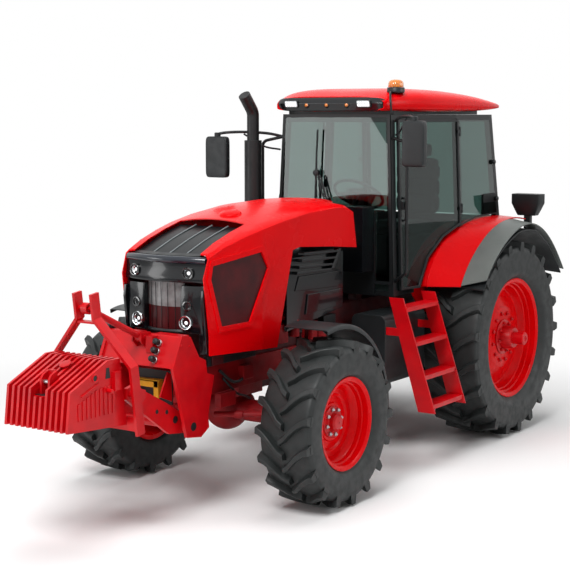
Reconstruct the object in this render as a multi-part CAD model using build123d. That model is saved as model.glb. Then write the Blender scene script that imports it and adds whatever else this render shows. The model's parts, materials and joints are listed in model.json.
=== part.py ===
from build123d import *
import math
import os

# Farm tractor with four-wheel drive, cab, front linkage and ballast block.
# Forward is -Y, the tractor's left is +X and up is +Z. All Y values below count from
# the rear axle; place() moves them so that the origin is under the middle of the machine.

# Driving sizes (mm)
WHEELBASE = 2760
FRONT_REACH = 4762          # rear axle to the foot of the ballast block
REAR_REACH = 1150           # rear axle to the ends of the lower links
CENTRE_Y = (FRONT_REACH - REAR_REACH) / 2
GAP = 0.3                   # seat clearance between pieces
RUN = 0.05                  # radial clearance of a pin in its bore

# wheels
FRONT_TYRE_R = 595
FRONT_TYRE_W = 420
FRONT_TRACK_X = 870         # middle of the front tyre
FRONT_RIM_R = 330
FRONT_RIM_HALF = 176        # half the width over the rim flanges
REAR_TYRE_R = 840
REAR_TYRE_W = 520
REAR_TRACK_X = 800
REAR_RIM_R = 508
REAR_RIM_HALF = 214
FLANGE_H = 22               # rim flange above the bead seat
FLANGE_T = 14
WELL_DEPTH = 52
WHEEL_SIDES = 44            # flats round a rim
FRONT_LUGS, REAR_LUGS = 17, 21      # bars on each half of a tread
FRONT_LUG_H, REAR_LUG_H = 42, 48
FRONT_LUG_W, REAR_LUG_W = 34, 42
LUG_SWEEP = 180             # how far a bar's shoulder end trails its nose, along the tread
LUG_DRAFT = 12              # how much wider each flank is at its foot
LUG_CROWN = 14              # drop of the tread from the middle to the shoulder
SIDEWALL = 34               # rubber thickness
RIM_WALL = 10
HUB_X_FRONT = 908           # outer face of the front wheel disc
HUB_X_REAR = 915
STUD_CIRCLE = 120
STUD_R = 9
AXLE_SHAFT_R = 54
AXLE_SHAFT_END = 1125

# front axle and steering
KINGPIN_X = 640
KINGPIN_R = 25
KINGPIN_BOSS_R = 70
KINGPIN_BOSS_H = 200
KNUCKLE_EAR_H = 50
FRONT_AXLE_Z = FRONT_TYRE_R
AXLE_TUBE_R = 80
DRIVE_HOUSING_R = 150
FENDER_R = 690              # front fender, about the wheel centre
FENDER_WALL = 6
FENDER_OUT = 985
STAY_X = 636                # fender stay, just inboard of the tyre
STAY_T = 24

# chassis
RAIL_X = 215
RAIL_W = 30
RAIL_Z0 = 800
RAIL_Z1 = 1000
RAIL_FRONT = -3440
RAIL_BACK = -2100
GEARBOX_HALF = 200
TRUMPET_R = 115
TRUMPET_END = 700

TANK_X0, TANK_X1 = 330, 640

# front linkage
PLATE_X = 308               # inner face of the side plates
PLATE_T = 24
ARM_X = 262
ARM_T = 30
ARM_PIVOT = (-3605, 633)
HOOK = (-4150, 950)
MAST_Y = -4195              # middle of the mast bars at the height of the hook
TOP_LOW = (-3745, 1250)
TOP_HIGH = (-4270, 1502)
PIN_R = 14
ARM_PIN_R = 30
HOOK_PIN_R = 24
LINK_R = 22
MAST_HALF = 73
MAST_FOOT_HALF = 342
MAST_T = 20
MAST_W = 76

# ballast block
BLOCK_HALF = 270
RIBS = 12
RIB_T = 19
RIB_DEPTH = 34
SIDE_GROOVES = 8            # grooves cast into each side of the block
GROOVE_W = 20
GROOVE_DEPTH = 9

# hood
HOOD_REAR = -1515
HOOD_FRONT = -3440
HOOD_HALF = 430
HOOD_WALL = 8
HOOD_TAPER = 620            # length over which the hood widens
HOOD_NARROW = 368           # half width at the nose
HOOD_BEVEL = 22             # bevel along the hood's top edges
COLLAR = 9                  # how far the side window's collar stands out
COLLAR_W = 34
HINGE_Y, HINGE_Z = -1540, 2045
HINGE_R = 8
NOSE_HALF = 351
NOSE_Z0 = 1255
NOSE_LAMPS_Z = 1604         # lower edge of the upper lamp band
NOSE_BROW_Z = 1738
NOSE_Z1 = 1784
NOSE_BOW = 92               # how far the middle of the brow stands ahead of its corners
GRILLE_HALF = 288
GRILLE_REAR = -2925

# cab
CAB_FRONT = -1290
CAB_REAR = 390
DOOR_POST_Y = -400
FLOOR_Z = 1340
FLOOR_T = 40
ROOF_Z = 2740
PILLAR = 46
GLASS = 6
DOOR_GAP = 6
DOOR_AXIS_Y = -384          # hinge axis of the doors, behind their rear edge
DOOR_AXIS_OUT = 20          # and outside the door post
HINGES = (1960, 2600)

# rear fenders
ARCH_IN = 500               # inner wall of the wheel arch
ARCH_CAB = 680
ARCH_RED = 880
ARCH_OUT = 1090
ARCH_T = 10

# ladder
STEPS = (1240, 975, 715, 490)
STEP_T = 34


# Helpers
def box(x0, x1, y0, y1, z0, z1):
    return Pos((x0 + x1) / 2, (y0 + y1) / 2, (z0 + z1) / 2) * Box(x1 - x0, y1 - y0, z1 - z0)


def side_plate(points, x0, x1):
    """A plate from a side-view outline of (y, z) points, between two X values."""
    face = make_face(Polyline([(x0, y, z) for y, z in points], close=True))
    return extrude(face, amount=x1 - x0, dir=(1, 0, 0))


def bar(p, q, r):
    """A round bar from point p to point q."""
    p, q = Vector(*p), Vector(*q)
    plane = Plane(origin=p, z_dir=q - p)
    return extrude(plane * Circle(r), amount=(q - p).length)


def along_x(y, z, r, x0, x1):
    """A round pin or boss along X."""
    return bar((x0, y, z), (x1, y, z), r)


def tube(points, r, bend):
    """A round tube along a path of points with rounded corners."""
    path = FilletPolyline(*points, radius=bend)
    return sweep(Plane(origin=path @ 0, z_dir=path % 0) * Circle(r), path=path)


def mirrored(shape):
    return shape + mirror(shape, about=Plane.YZ)


def post(p, q, dx, dy):
    """A rectangular post that leans from p to q, cut level at both ends."""
    low = Pos(*p) * Rectangle(dx, dy)
    high = Pos(*q) * Rectangle(dx, dy)
    return loft([low, high], ruled=True)


def turned(profile, sides, y=0, z=0):
    """A ring about X with flat sides from a closed (x, r) outline; a flat lies at the bottom."""
    half = math.pi / sides
    out = 1 / math.cos(half)
    angles = [math.pi / 2 + half + 2 * half * k for k in range(sides)]
    spin = [(math.cos(a) * out, math.sin(a) * out) for a in angles]
    faces = []
    for k in range(sides):
        (c0, s0), (c1, s1) = spin[k], spin[(k + 1) % sides]
        for (x0, r0), (x1, r1) in zip(profile, profile[1:] + profile[:1]):
            corners = [(x0, y + r0 * c0, z + r0 * s0), (x0, y + r0 * c1, z + r0 * s1),
                       (x1, y + r1 * c1, z + r1 * s1), (x1, y + r1 * c0, z + r1 * s0)]
            faces.append(Face(Wire.make_polygon(corners, close=True)))
    return Solid(Shell(faces))


def place(shape):
    return Pos(0, CENTRE_Y, 0) * shape


def save(name, shape):
    os.makedirs("parts", exist_ok=True)
    export_step(place(shape), f"parts/{name}.step")


# Wheels
def tyre(radius, width, rim_r, rim_half, x_mid, y, z, lugs, lug_w, lug_h):
    """Traction tyre: every bar starts at the middle of the tread and trails to the shoulder."""
    h = width / 2
    pitch = 2 * math.pi / lugs
    bead_r = (rim_r - FLANGE_H) / math.cos(math.pi / WHEEL_SIDES) / math.cos(pitch / 2)
    bead_x = rim_half - FLANGE_T - GAP
    base = radius - lug_h
    half_w = lug_w / 2 / radius
    foot_w = (lug_w / 2 + LUG_DRAFT) / radius
    # each station: share of the width, X and radius of the top, X and radius of the foot
    stations = [(0.0, 6, radius / math.cos(half_w), 0, base),
                (0.45, 0.45 * h, radius - 0.3 * LUG_CROWN, 0.45 * h, base - 0.3 * LUG_CROWN),
                (1.0, h, radius - LUG_CROWN, h - 8, base - LUG_CROWN)]
    rings = [(h, base - LUG_CROWN - 55), (h - 6, rim_r + 70), (bead_x, rim_r + 10), (bead_x, bead_r),
             (bead_x - SIDEWALL, bead_r), (h - SIDEWALL, base - 60)]

    def at(side, x, r, angle):
        return x_mid + side * x, y - r * math.cos(angle), z + r * math.sin(angle)

    def bar_points(side, k, station):
        share, x, r, foot_x, foot_r = station
        nose = -math.pi / 2 + (0 if side > 0 else pitch / 2) + k * pitch
        a = nose + LUG_SWEEP / radius * (1 - (1 - share) ** 1.6)
        return (at(side, x, r, a - half_w), at(side, x, r, a + half_w),
                at(side, foot_x, foot_r, a - foot_w), at(side, foot_x, foot_r, a + foot_w))

    def ring_point(side, k, ring):
        trail = LUG_SWEEP / radius + (0 if side > 0 else pitch / 2)
        return at(side, *rings[ring], -math.pi / 2 + trail + k * pitch)

    faces = []
    for side in (1, -1):
        for k in range(lugs):
            bars = [bar_points(side, k, s) for s in stations]
            following = [bar_points(side, k + 1, s) for s in stations]
            across = bar_points(-side, k if side > 0 else k + 1, stations[0])
            (tl, tr, bl, br), (tl1, tr1, bl1, br1) = bars[0], bars[1]
            next_bl, next_bl1 = following[0][2], following[1][2]
            faces += [(bl, br, tr), (bl, tr, tl)]
            faces += [(br, across[2], br1), (across[2], next_bl1, br1),
                      (across[2], across[3], next_bl1), (across[3], next_bl, next_bl1)]
            for a, b, c in ((bars[0], bars[1], None), (bars[1], bars[2], following)):
                faces += [(a[0], a[1], b[1]), (a[0], b[1], b[0]), (a[2], a[0], b[0]), (a[2], b[0], b[2]),
                          (a[1], a[3], b[3]), (a[1], b[3], b[1])]
                if c:
                    faces += [(a[3], c[1][2], c[2][2]), (a[3], c[2][2], b[3])]
            tl2, tr2, bl2, br2 = bars[2]
            next_bl2 = following[2][2]
            here, there = ring_point(side, k, 0), ring_point(side, k + 1, 0)
            faces += [(tl2, tr2, here), (bl2, tl2, here), (tr2, br2, here), (br2, next_bl2, there),
                      (br2, there, here)]
            for n in range(len(rings) - 1):
                faces.append((ring_point(side, k, n), ring_point(side, k + 1, n),
                              ring_point(side, k + 1, n + 1), ring_point(side, k, n + 1)))
            inner = len(rings) - 1
            if side > 0:
                faces += [(ring_point(1, k, inner), ring_point(1, k + 1, inner), ring_point(-1, k, inner)),
                          (ring_point(-1, k, inner), ring_point(1, k + 1, inner), ring_point(-1, k + 1, inner))]
    return Solid(Shell([Face(Wire.make_polygon(f, close=True)) for f in faces]))


def rim(rim_r, half, x_mid):
    """Outline of a drop-centre rim barrel."""
    seat = rim_r - FLANGE_H - GAP
    well = seat - WELL_DEPTH
    outer = [(x_mid - half, rim_r), (x_mid - half + FLANGE_T, rim_r), (x_mid - half + FLANGE_T, seat),
             (x_mid - half + 90, seat), (x_mid - 50, well), (x_mid + 50, well),
             (x_mid + half - 90, seat), (x_mid + half - FLANGE_T, seat), (x_mid + half - FLANGE_T, rim_r),
             (x_mid + half, rim_r)]
    inner = [(x, r - RIM_WALL) for x, r in reversed(outer[2:-2])]
    return outer + [(x_mid + half, seat - RIM_WALL)] + inner[1:-1] + [(x_mid - half, seat - RIM_WALL)]


front_tyre = tyre(FRONT_TYRE_R, FRONT_TYRE_W, FRONT_RIM_R, FRONT_RIM_HALF, FRONT_TRACK_X, -WHEELBASE, FRONT_TYRE_R,
                  FRONT_LUGS, FRONT_LUG_W, FRONT_LUG_H)
rear_tyre = tyre(REAR_TYRE_R, REAR_TYRE_W, REAR_RIM_R, REAR_RIM_HALF, REAR_TRACK_X, 0, REAR_TYRE_R,
                 REAR_LUGS, REAR_LUG_W, REAR_LUG_H)


def studs(y, z, x_face, circle, count, length):
    out = None
    for k in range(count):
        a = 2 * math.pi * k / count
        s = along_x(y + circle * math.cos(a), z + circle * math.sin(a), STUD_R * 1.6,
                    x_face, x_face + length)
        out = s if out is None else out + s
    return out


def front_wheel_rim():
    y, z = -WHEELBASE, FRONT_TYRE_R
    barrel = turned(rim(FRONT_RIM_R, FRONT_RIM_HALF, FRONT_TRACK_X), WHEEL_SIDES, y, z)
    well_in = FRONT_RIM_R - FLANGE_H - GAP - WELL_DEPTH - RIM_WALL
    plate = along_x(y, z, well_in + 4, HUB_X_FRONT - 14, HUB_X_FRONT)
    hub = along_x(y, z, 92, HUB_X_FRONT - 60, HUB_X_FRONT + 60)
    bore = along_x(y, z, 45 + RUN, HUB_X_FRONT - 61, HUB_X_FRONT + 20)
    return barrel + (plate + hub + studs(y, z, HUB_X_FRONT, STUD_CIRCLE, 8, 22) - bore)


def rear_wheel_rim():
    y, z = 0, REAR_TYRE_R
    barrel = turned(rim(REAR_RIM_R, REAR_RIM_HALF, REAR_TRACK_X), WHEEL_SIDES, y, z)
    well_in = REAR_RIM_R - FLANGE_H - GAP - WELL_DEPTH - RIM_WALL
    lip_x = REAR_TRACK_X + 40
    cone = Pos(0, y, z) * Rot(0, 90, 0) * Pos(0, 0, lip_x) * Cone(well_in + 4, 265,
        HUB_X_REAR - lip_x, align=(Align.CENTER, Align.CENTER, Align.MIN))
    hollow = Pos(0, y, z) * Rot(0, 90, 0) * Pos(0, 0, lip_x - 16) * Cone(well_in + 4, 265,
        HUB_X_REAR - lip_x, align=(Align.CENTER, Align.CENTER, Align.MIN))
    plate = cone - hollow
    hub = along_x(y, z, 105, HUB_X_REAR - 70, HUB_X_REAR + 110)
    shaft = along_x(y, z, AXLE_SHAFT_R, TRUMPET_END - 60, AXLE_SHAFT_END)
    return barrel + (plate + hub + studs(y, z, HUB_X_REAR, 200, 10, 24) + shaft)


front_rim = front_wheel_rim()
rear_rim = rear_wheel_rim()
for side, flip in (("left", False), ("right", True)):
    for name, shape in (("front_tyre", front_tyre), ("rear_tyre", rear_tyre),
                        ("front_rim", front_rim), ("rear_rim", rear_rim)):
        save(f"{name}_{side}", mirror(shape, about=Plane.YZ) if flip else shape)

# Front axle and knuckles
AY, AZ = -WHEELBASE, FRONT_AXLE_Z


def front_axle():
    """Cast beam with its differential housing, kingpin bosses and the steering cylinder."""
    beam = bar((-KINGPIN_X, AY, AZ), (KINGPIN_X, AY, AZ), AXLE_TUBE_R)
    diff = Pos(0, AY, AZ) * Sphere(165)
    nose = bar((0, AY, AZ), (0, AY + 260, AZ), 70)
    saddle = box(-RAIL_X + GAP, RAIL_X - GAP, AY - 150, AY + 150, AZ + 120, RAIL_Z0 + 60)
    bosses = mirrored(Pos(KINGPIN_X, AY, AZ) * Cylinder(KINGPIN_BOSS_R, KINGPIN_BOSS_H))
    bores = mirrored(Pos(KINGPIN_X, AY, AZ) * Cylinder(KINGPIN_R + RUN, KINGPIN_BOSS_H + 2))
    return beam + diff + nose + saddle + bosses - bores


def knuckle():
    """Left swivel housing: two ears on the kingpin, the final drive and the wheel spindle."""
    top = AZ + KINGPIN_BOSS_H / 2 + GAP
    low = AZ - KINGPIN_BOSS_H / 2 - GAP
    ear = Pos(KINGPIN_X, AY) * Cylinder(KINGPIN_BOSS_R, KNUCKLE_EAR_H)
    ears = Pos(0, 0, top + KNUCKLE_EAR_H / 2) * ear + Pos(0, 0, low - KNUCKLE_EAR_H / 2) * ear
    web_x = KINGPIN_X + KINGPIN_BOSS_R + 6
    web = box(web_x, web_x + 34, AY - 80, AY + 80, low - KNUCKLE_EAR_H, top + KNUCKLE_EAR_H)
    arms = box(KINGPIN_X, web_x + 34, AY - 60, AY + 60, top, top + KNUCKLE_EAR_H)
    arms += box(KINGPIN_X, web_x + 34, AY - 60, AY + 60, low - KNUCKLE_EAR_H, low)
    pin = Pos(KINGPIN_X, AY, AZ) * Cylinder(KINGPIN_R, 2 * (top + KNUCKLE_EAR_H - AZ))
    housing = along_x(AY, AZ, DRIVE_HOUSING_R, web_x + 30, web_x + 100)
    spindle = along_x(AY, AZ, 45, web_x + 90, HUB_X_FRONT + 10)
    stay = post((STAY_X, AY + 50, top), (STAY_X, AY + 90, AZ + FENDER_R + 2), STAY_T, 50)
    return ears + web + arms + pin + housing + spindle + stay


def front_fender():
    """Mudguard arc over the rear top of the front wheel."""
    x0, x1 = STAY_X - STAY_T / 2, FENDER_OUT
    ring = along_x(AY, AZ, FENDER_R + FENDER_WALL, x0, x1) - along_x(AY, AZ, FENDER_R, x0 - 1, x1 + 1)
    far = 900
    start, stop = math.radians(-8), math.radians(104)
    wedge = [(AY, AZ)]
    for k in range(5):
        a = start + (stop - start) * k / 4
        wedge.append((AY + far * math.cos(a), AZ + far * math.sin(a)))
    return ring & side_plate(wedge, x0 - 5, x1 + 5)


save("front_axle", front_axle())
left_knuckle = knuckle() - (along_x(AY, AZ, FENDER_R + FENDER_WALL + 40, 600, 1100)
                            - along_x(AY, AZ, FENDER_R - GAP, 600, 1100))
fender = front_fender()
save("knuckle_left", left_knuckle)
save("knuckle_right", mirror(left_knuckle, about=Plane.YZ))
save("front_fender_left", fender)
save("front_fender_right", mirror(fender, about=Plane.YZ))

# Chassis
ENGINE_Y0, ENGINE_Y1 = -3100, -2160
RADIATOR_Y0, RADIATOR_Y1 = -3330, -3200


def chassis_frame():
    """Two rails with the front bracket and the cross members."""
    rails = mirrored(box(RAIL_X, RAIL_X + RAIL_W, RAIL_FRONT, RAIL_BACK, RAIL_Z0, RAIL_Z1))
    bracket = box(-RAIL_X - RAIL_W, RAIL_X + RAIL_W, RAIL_FRONT - 30, RAIL_FRONT, RAIL_Z0 - 40, RAIL_Z1)
    deck = box(-RAIL_X - RAIL_W, RAIL_X + RAIL_W, RAIL_FRONT - 30, RADIATOR_Y1 + 40, RAIL_Z1, RAIL_Z1 + 14)
    cross = box(-RAIL_X, RAIL_X, RAIL_BACK - 60, RAIL_BACK, RAIL_Z0 + 40, RAIL_Z1 - 40)
    return rails + bracket + deck + cross


def engine():
    """The engine as one plain block on its sump, with the radiator in front of it."""
    block = box(-RAIL_X + GAP, RAIL_X - GAP, ENGINE_Y0, ENGINE_Y1, 860, 1640)
    sump = box(-150, 150, ENGINE_Y0 + 500, ENGINE_Y1, 720, 860)
    radiator = box(-300, 300, RADIATOR_Y0, RADIATOR_Y1, RAIL_Z1 + 14 + GAP, 1760)
    return block + sump + radiator


def transmission():
    """Clutch housing, gearbox and rear axle with its trumpets and the drawbar."""
    profile = [(-2100 + GAP, 1180), (-2100 + GAP, 700), (-1500, 640), (-300, 600), (-260, 540),
               (260, 540), (300, 640), (300, 1240), (-1900, 1240)]
    body = side_plate(profile, -GEARBOX_HALF, GEARBOX_HALF)
    z = REAR_TYRE_R
    trumpet = along_x(0, z, 175, GEARBOX_HALF - 5, 300) + along_x(0, z, TRUMPET_R, 290, TRUMPET_END)
    flange = along_x(0, z, 165, 440, 480)
    bore = along_x(0, z, AXLE_SHAFT_R + RUN, TRUMPET_END - 90, TRUMPET_END + 1)
    drawbar = box(-45, 45, -200, 700, 500, 540)
    hitch_pin = Pos(0, 650, 500) * Cylinder(17, 200)
    pto = bar((0, 299, 690), (0, 400, 690), 22)
    holders = box(GEARBOX_HALF - 5, TANK_X0 - GAP, -1420, -1360, 1000, 1060)
    holders += box(GEARBOX_HALF - 5, TANK_X0 - GAP, -1040, -980, 1000, 1060)
    for y0 in (-1240, 160):
        holders += box(110, 190, y0, y0 + 80, 1235, FLOOR_Z - FLOOR_T - GAP)
    return body + mirrored(trumpet + flange - bore + holders) + (drawbar - hitch_pin) + pto


save("chassis_frame", chassis_frame())
save("engine", engine())
save("transmission", transmission())

tank = box(TANK_X0, TANK_X1, -1545, -900, 620, 1180)
tank = fillet(tank.edges().filter_by(Axis.Y), 60)
save("fuel_tanks", mirrored(tank))

# Front linkage frame
PLATE_OUTLINE = [(-3706, 1276), (-3613, 1260), (-3521, 1109), (-3449, 1078), (-3433, 985),
                 (-3354, 959), (-3425, 691), (-3415, 605), (-3506, 552), (-3660, 575),
                 (-3806, 1067)]


CROSS_HEAD, CROSS_FOOT = (-3700, 1262), (-3788, 1063)


def hitch_frame():
    """Side plates, cross plate and top-link bracket bolted to the front of the rails."""
    plates = mirrored(side_plate(PLATE_OUTLINE, PLATE_X, PLATE_X + PLATE_T))
    (hy, hz), (fy, fz) = CROSS_HEAD, CROSS_FOOT
    cross = side_plate([(hy, hz), (hy + 14, hz), (fy + 14, fz), (fy, fz)], -PLATE_X, PLATE_X)
    top = box(-PLATE_X, PLATE_X, -3690, -3600, 1240, 1256)
    back = box(-PLATE_X, PLATE_X, -3500, -3486, 800, 1060)
    y, z = TOP_LOW
    ears = mirrored(side_plate([(y - 40, z - 30), (y - 40, z + 40), (y + 60, z + 30), (y + 60, z - 120)],
                               30, 44))
    bores = along_x(y, z, PIN_R + RUN, -400, 400)
    py, pz = ARM_PIVOT
    arm_pins = mirrored(along_x(py, pz, ARM_PIN_R, ARM_X - ARM_T - 8, PLATE_X + 2))
    spacer = box(-PLATE_X, PLATE_X, RAIL_FRONT - 50, RAIL_FRONT - 30, RAIL_Z0 - 40, RAIL_Z1)
    return plates + cross + top + back + (ears - bores) + spacer + arm_pins


save("hitch_frame", hitch_frame())

guard = box(-110, 110, -3800, -3700, 830, 970) - box(-98, 98, -3801, -3699, 829, 958)
guard += box(-110, 110, -3700, -3688, 830, 970)
guard += box(-60, 60, -3690, -3500 - GAP, 860, 940)
save("pto_guard", guard)

couplers = None
slope = Vector(0, CROSS_FOOT[0] - CROSS_HEAD[0], CROSS_FOOT[1] - CROSS_HEAD[1]).normalized()
out = Vector(0, slope.Z, -slope.Y)
for k in range(3):
    start = Vector(150, *CROSS_HEAD) + slope * (52 + 60 * k) + out * GAP
    piece = bar(start, start + out * 60, 20)
    couplers = piece if couplers is None else couplers + piece
save("hitch_couplers", couplers)


def lift_arms():
    """Lower arms with hooked ends, joined by their cross shaft."""
    (py, pz), (hy, hz) = ARM_PIVOT, HOOK
    outline = [(py + 60, pz - 50), (py + 40, pz + 60), (py - 190, pz + 200), (hy + 110, hz + 10),
               (hy + 60, hz + 62), (hy - 40, hz + 40), (hy - 50, hz - 30), (hy + 40, hz - 95),
               (py - 160, pz - 20)]
    arm = side_plate(outline, ARM_X - ARM_T, ARM_X)
    shaft = along_x(py - 230, pz + 70, 30, 0, ARM_X - 5)
    arms = mirrored(arm + shaft) - along_x(py, pz, ARM_PIN_R + RUN, -400, 400)
    return arms - along_x(hy, hz, HOOK_PIN_R + RUN, -400, 400)


save("front_lift_arms", lift_arms())


def top_link():
    (ay, az), (by, bz) = TOP_LOW, TOP_HIGH
    d = Vector(0, by - ay, bz - az).normalized()
    rod = bar(Vector(0, ay, az) + d * 20, Vector(0, by, bz) - d * 20, LINK_R)
    eyes = along_x(ay, az, 34, -24, 24) + along_x(by, bz, 38, -24, 24)
    pins = along_x(ay, az, PIN_R, -50, 50)
    return (rod + eyes - along_x(by, bz, 26, -30, 30)) + pins


save("front_top_link", top_link())


MAST_LEAN = (TOP_HIGH[0] - MAST_Y) / (TOP_HIGH[1] - HOOK[1])


def block_back(z):
    """Y of the block's back face, just in front of the leaning mast."""
    return MAST_Y + MAST_LEAN * (z - HOOK[1]) - (MAST_W / 2 + GAP) * math.hypot(1, MAST_LEAN)


def ballast_block():
    """Cast ballast block with ribs over its front and slope."""
    full = [(-4762, 799), (-4730, 1049), (-4383, 1203), (block_back(1203), 1203), (block_back(760), 760)]
    core = [(-4762 + RIB_DEPTH, 799), (-4730 + RIB_DEPTH, 1049 - 20), (-4383 + 8, 1203 - RIB_DEPTH),
            (block_back(1203 - RIB_DEPTH), 1203 - RIB_DEPTH), (block_back(760), 760)]
    block = side_plate(core, -BLOCK_HALF, BLOCK_HALF)
    pitch = (2 * BLOCK_HALF - RIB_T) / (RIBS - 1)
    for k in range(RIBS):
        x = -BLOCK_HALF + k * pitch
        block += side_plate(full, x, x + RIB_T)
    pocket = box(-60, 60, -4800, -4600, 1000, 1160)
    grooves = None
    for k in range(SIDE_GROOVES):
        y = -4655 + 2 * GROOVE_W * k
        top = 985 + min(0.42 * (y + 4655), 95)
        groove = box(BLOCK_HALF - GROOVE_DEPTH, BLOCK_HALF + 1, y, y + GROOVE_W, 860, top)
        grooves = groove if grooves is None else grooves + groove
    return block - pocket - mirrored(grooves)


def ballast_mast():
    """A-frame of two bent bars behind the block, with cross plates and hook pins."""
    (by, bz), (hy, hz) = TOP_HIGH, HOOK
    lean, z0, z1 = MAST_LEAN, 700, 1620
    half = trace(Polyline((MAST_HALF, z1), (MAST_HALF, 1451), (MAST_FOOT_HALF, 1153),
                          (MAST_FOOT_HALF, z0)), line_width=MAST_T)
    plane = Plane(origin=(0, MAST_Y - lean * hz, 0), x_dir=(1, 0, 0), z_dir=Vector(0, -1, lean))
    legs = extrude(plane * half, amount=MAST_W / 2, both=True)
    legs += mirror(legs, about=Plane.YZ)
    rung = Pos(0, by + lean * -90, bz - 90) * Box(2 * MAST_HALF, MAST_W - 20, 14)
    foot = Pos(0, MAST_Y + lean * (z0 + 60 - hz), z0 + 60) * Box(2 * MAST_FOOT_HALF, 30, 90)
    x0, x1 = MAST_FOOT_HALF - MAST_T / 2, MAST_FOOT_HALF + MAST_T / 2
    ear = side_plate([(MAST_Y, hz - 60), (hy + 38, hz - 30), (hy + 38, hz + 30), (MAST_Y, hz + 60)], x0, x1)
    legs += mirrored(ear)
    pin = along_x(by, bz, PIN_R, -MAST_HALF, MAST_HALF)
    hooks = mirrored(along_x(hy, hz, HOOK_PIN_R, ARM_X - ARM_T - 12, MAST_FOOT_HALF))
    return legs + rung + foot + pin + hooks


block, mast = ballast_block(), ballast_mast()
save("ballast_block", block)
save("ballast_mast", mast)

# Hood
# stations along the hood: Y, height of the side edge, height of the middle
CROWN = [(-3510, 1776, 1784), (-3440, 1803, 1814), (-3300, 1858, 1882), (-3100, 1914, 1952),
         (-2900, 1958, 2006), (-2650, 2002, 2052), (-2300, 2044, 2090), (-1900, 2060, 2098),
         (HOOD_REAR, 2052, 2084)]


def hood_half(y):
    """Half width of the hood, which widens from the nose to its shoulders."""
    return HOOD_NARROW + (HOOD_HALF - HOOD_NARROW) * min(1, (y - HOOD_FRONT) / HOOD_TAPER)


def hood_section(y, edge, top, inset=0.0):
    """Closed cross-section of the hood at y: upright sides, bevelled edges, crowned top."""
    half = hood_half(y) - inset
    edge, top = edge - inset, top - inset
    base = 1000
    side = Polyline((-half + HOOD_BEVEL, edge), (-half, edge - HOOD_BEVEL), (-half, base), (half, base),
                    (half, edge - HOOD_BEVEL), (half - HOOD_BEVEL, edge))
    crown = ThreePointArc((-half + HOOD_BEVEL, edge), (0, top), (half - HOOD_BEVEL, edge))
    plane = Plane(origin=(0, y, 0), x_dir=(1, 0, 0), z_dir=(0, -1, 0))
    return plane * make_face([side, crown])


MESH = [(-3420, 1722), (-2918, 1782), (-2845, 1662), (-3043, 1300), (-3335, 1296), (-3440, 1630)]
COLLAR_LINE = [(-3440, 1756), (-2898, 1824), (-2802, 1664), (-3022, 1264), (-3360, 1260), (-3478, 1634)]
FRONT_EDGE = [(-3440, 1815), (-3505, 1640), (-3452, 1250), (-3450, 1000)]


def hood_shell():
    """Pressed hood, open below, with its side windows in raised collars and the nose opening."""
    outer = loft([hood_section(*s) for s in CROWN], ruled=True)
    proud = loft([hood_section(*s, -COLLAR) for s in CROWN], ruled=True)
    inner = loft([hood_section(y - 1, *z, HOOD_WALL) for y, *z in CROWN[:1]]
                 + [hood_section(*s, HOOD_WALL) for s in CROWN[1:-1]]
                 + [hood_section(CROWN[-1][0] + 1, *CROWN[-1][1:], HOOD_WALL)], ruled=True)
    ring = side_plate(COLLAR_LINE, -600, 600) - side_plate(MESH, -600, 600)
    below = side_plate([(-3600, 900), (-3600, 1114), (-2727, 1077), (-2527, 1765), (-2435, 1780),
                        (-1646, 1726), (-1300, 1700), (-1300, 900)], -600, 600)
    ahead = side_plate([(-3600, 1000), (-3600, 2300), (-3440, 2300)] + FRONT_EDGE, -600, 600)
    window = side_plate(MESH, -600, 600)
    top_opening = side_plate([(-3550, 1700), (-3550, 2300), (GRILLE_REAR, 2300), (GRILLE_REAR, 1700)],
                             -GRILLE_HALF - 2, GRILLE_HALF + 2)
    return outer + (proud & ring) - inner - below - ahead - window - top_opening


lug = side_plate([(HINGE_Y - 25, HINGE_Z + 12), (HINGE_Y + 12, HINGE_Z - 12), (HINGE_Y + 20, 2078),
                  (HINGE_Y - 40, 2080)], 90, 100)
lugs = mirrored(lug + along_x(HINGE_Y, HINGE_Z, HINGE_R, 66, 100))
shell = hood_shell() + lugs
save("hood_shell", shell)


def nose_band(z0, z1, half, front, bow):
    """One level band of the nose mask, bowed forward in plan."""
    arc = ThreePointArc((-half, front, z0), (0, front - bow, z0), (half, front, z0))
    rest = Polyline((half, front, z0), (half, HOOD_FRONT - GAP, z0), (-half, HOOD_FRONT - GAP, z0), (-half, front, z0))
    return extrude(make_face([arc, rest]), amount=z1 - z0, dir=(0, 0, 1))


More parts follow.
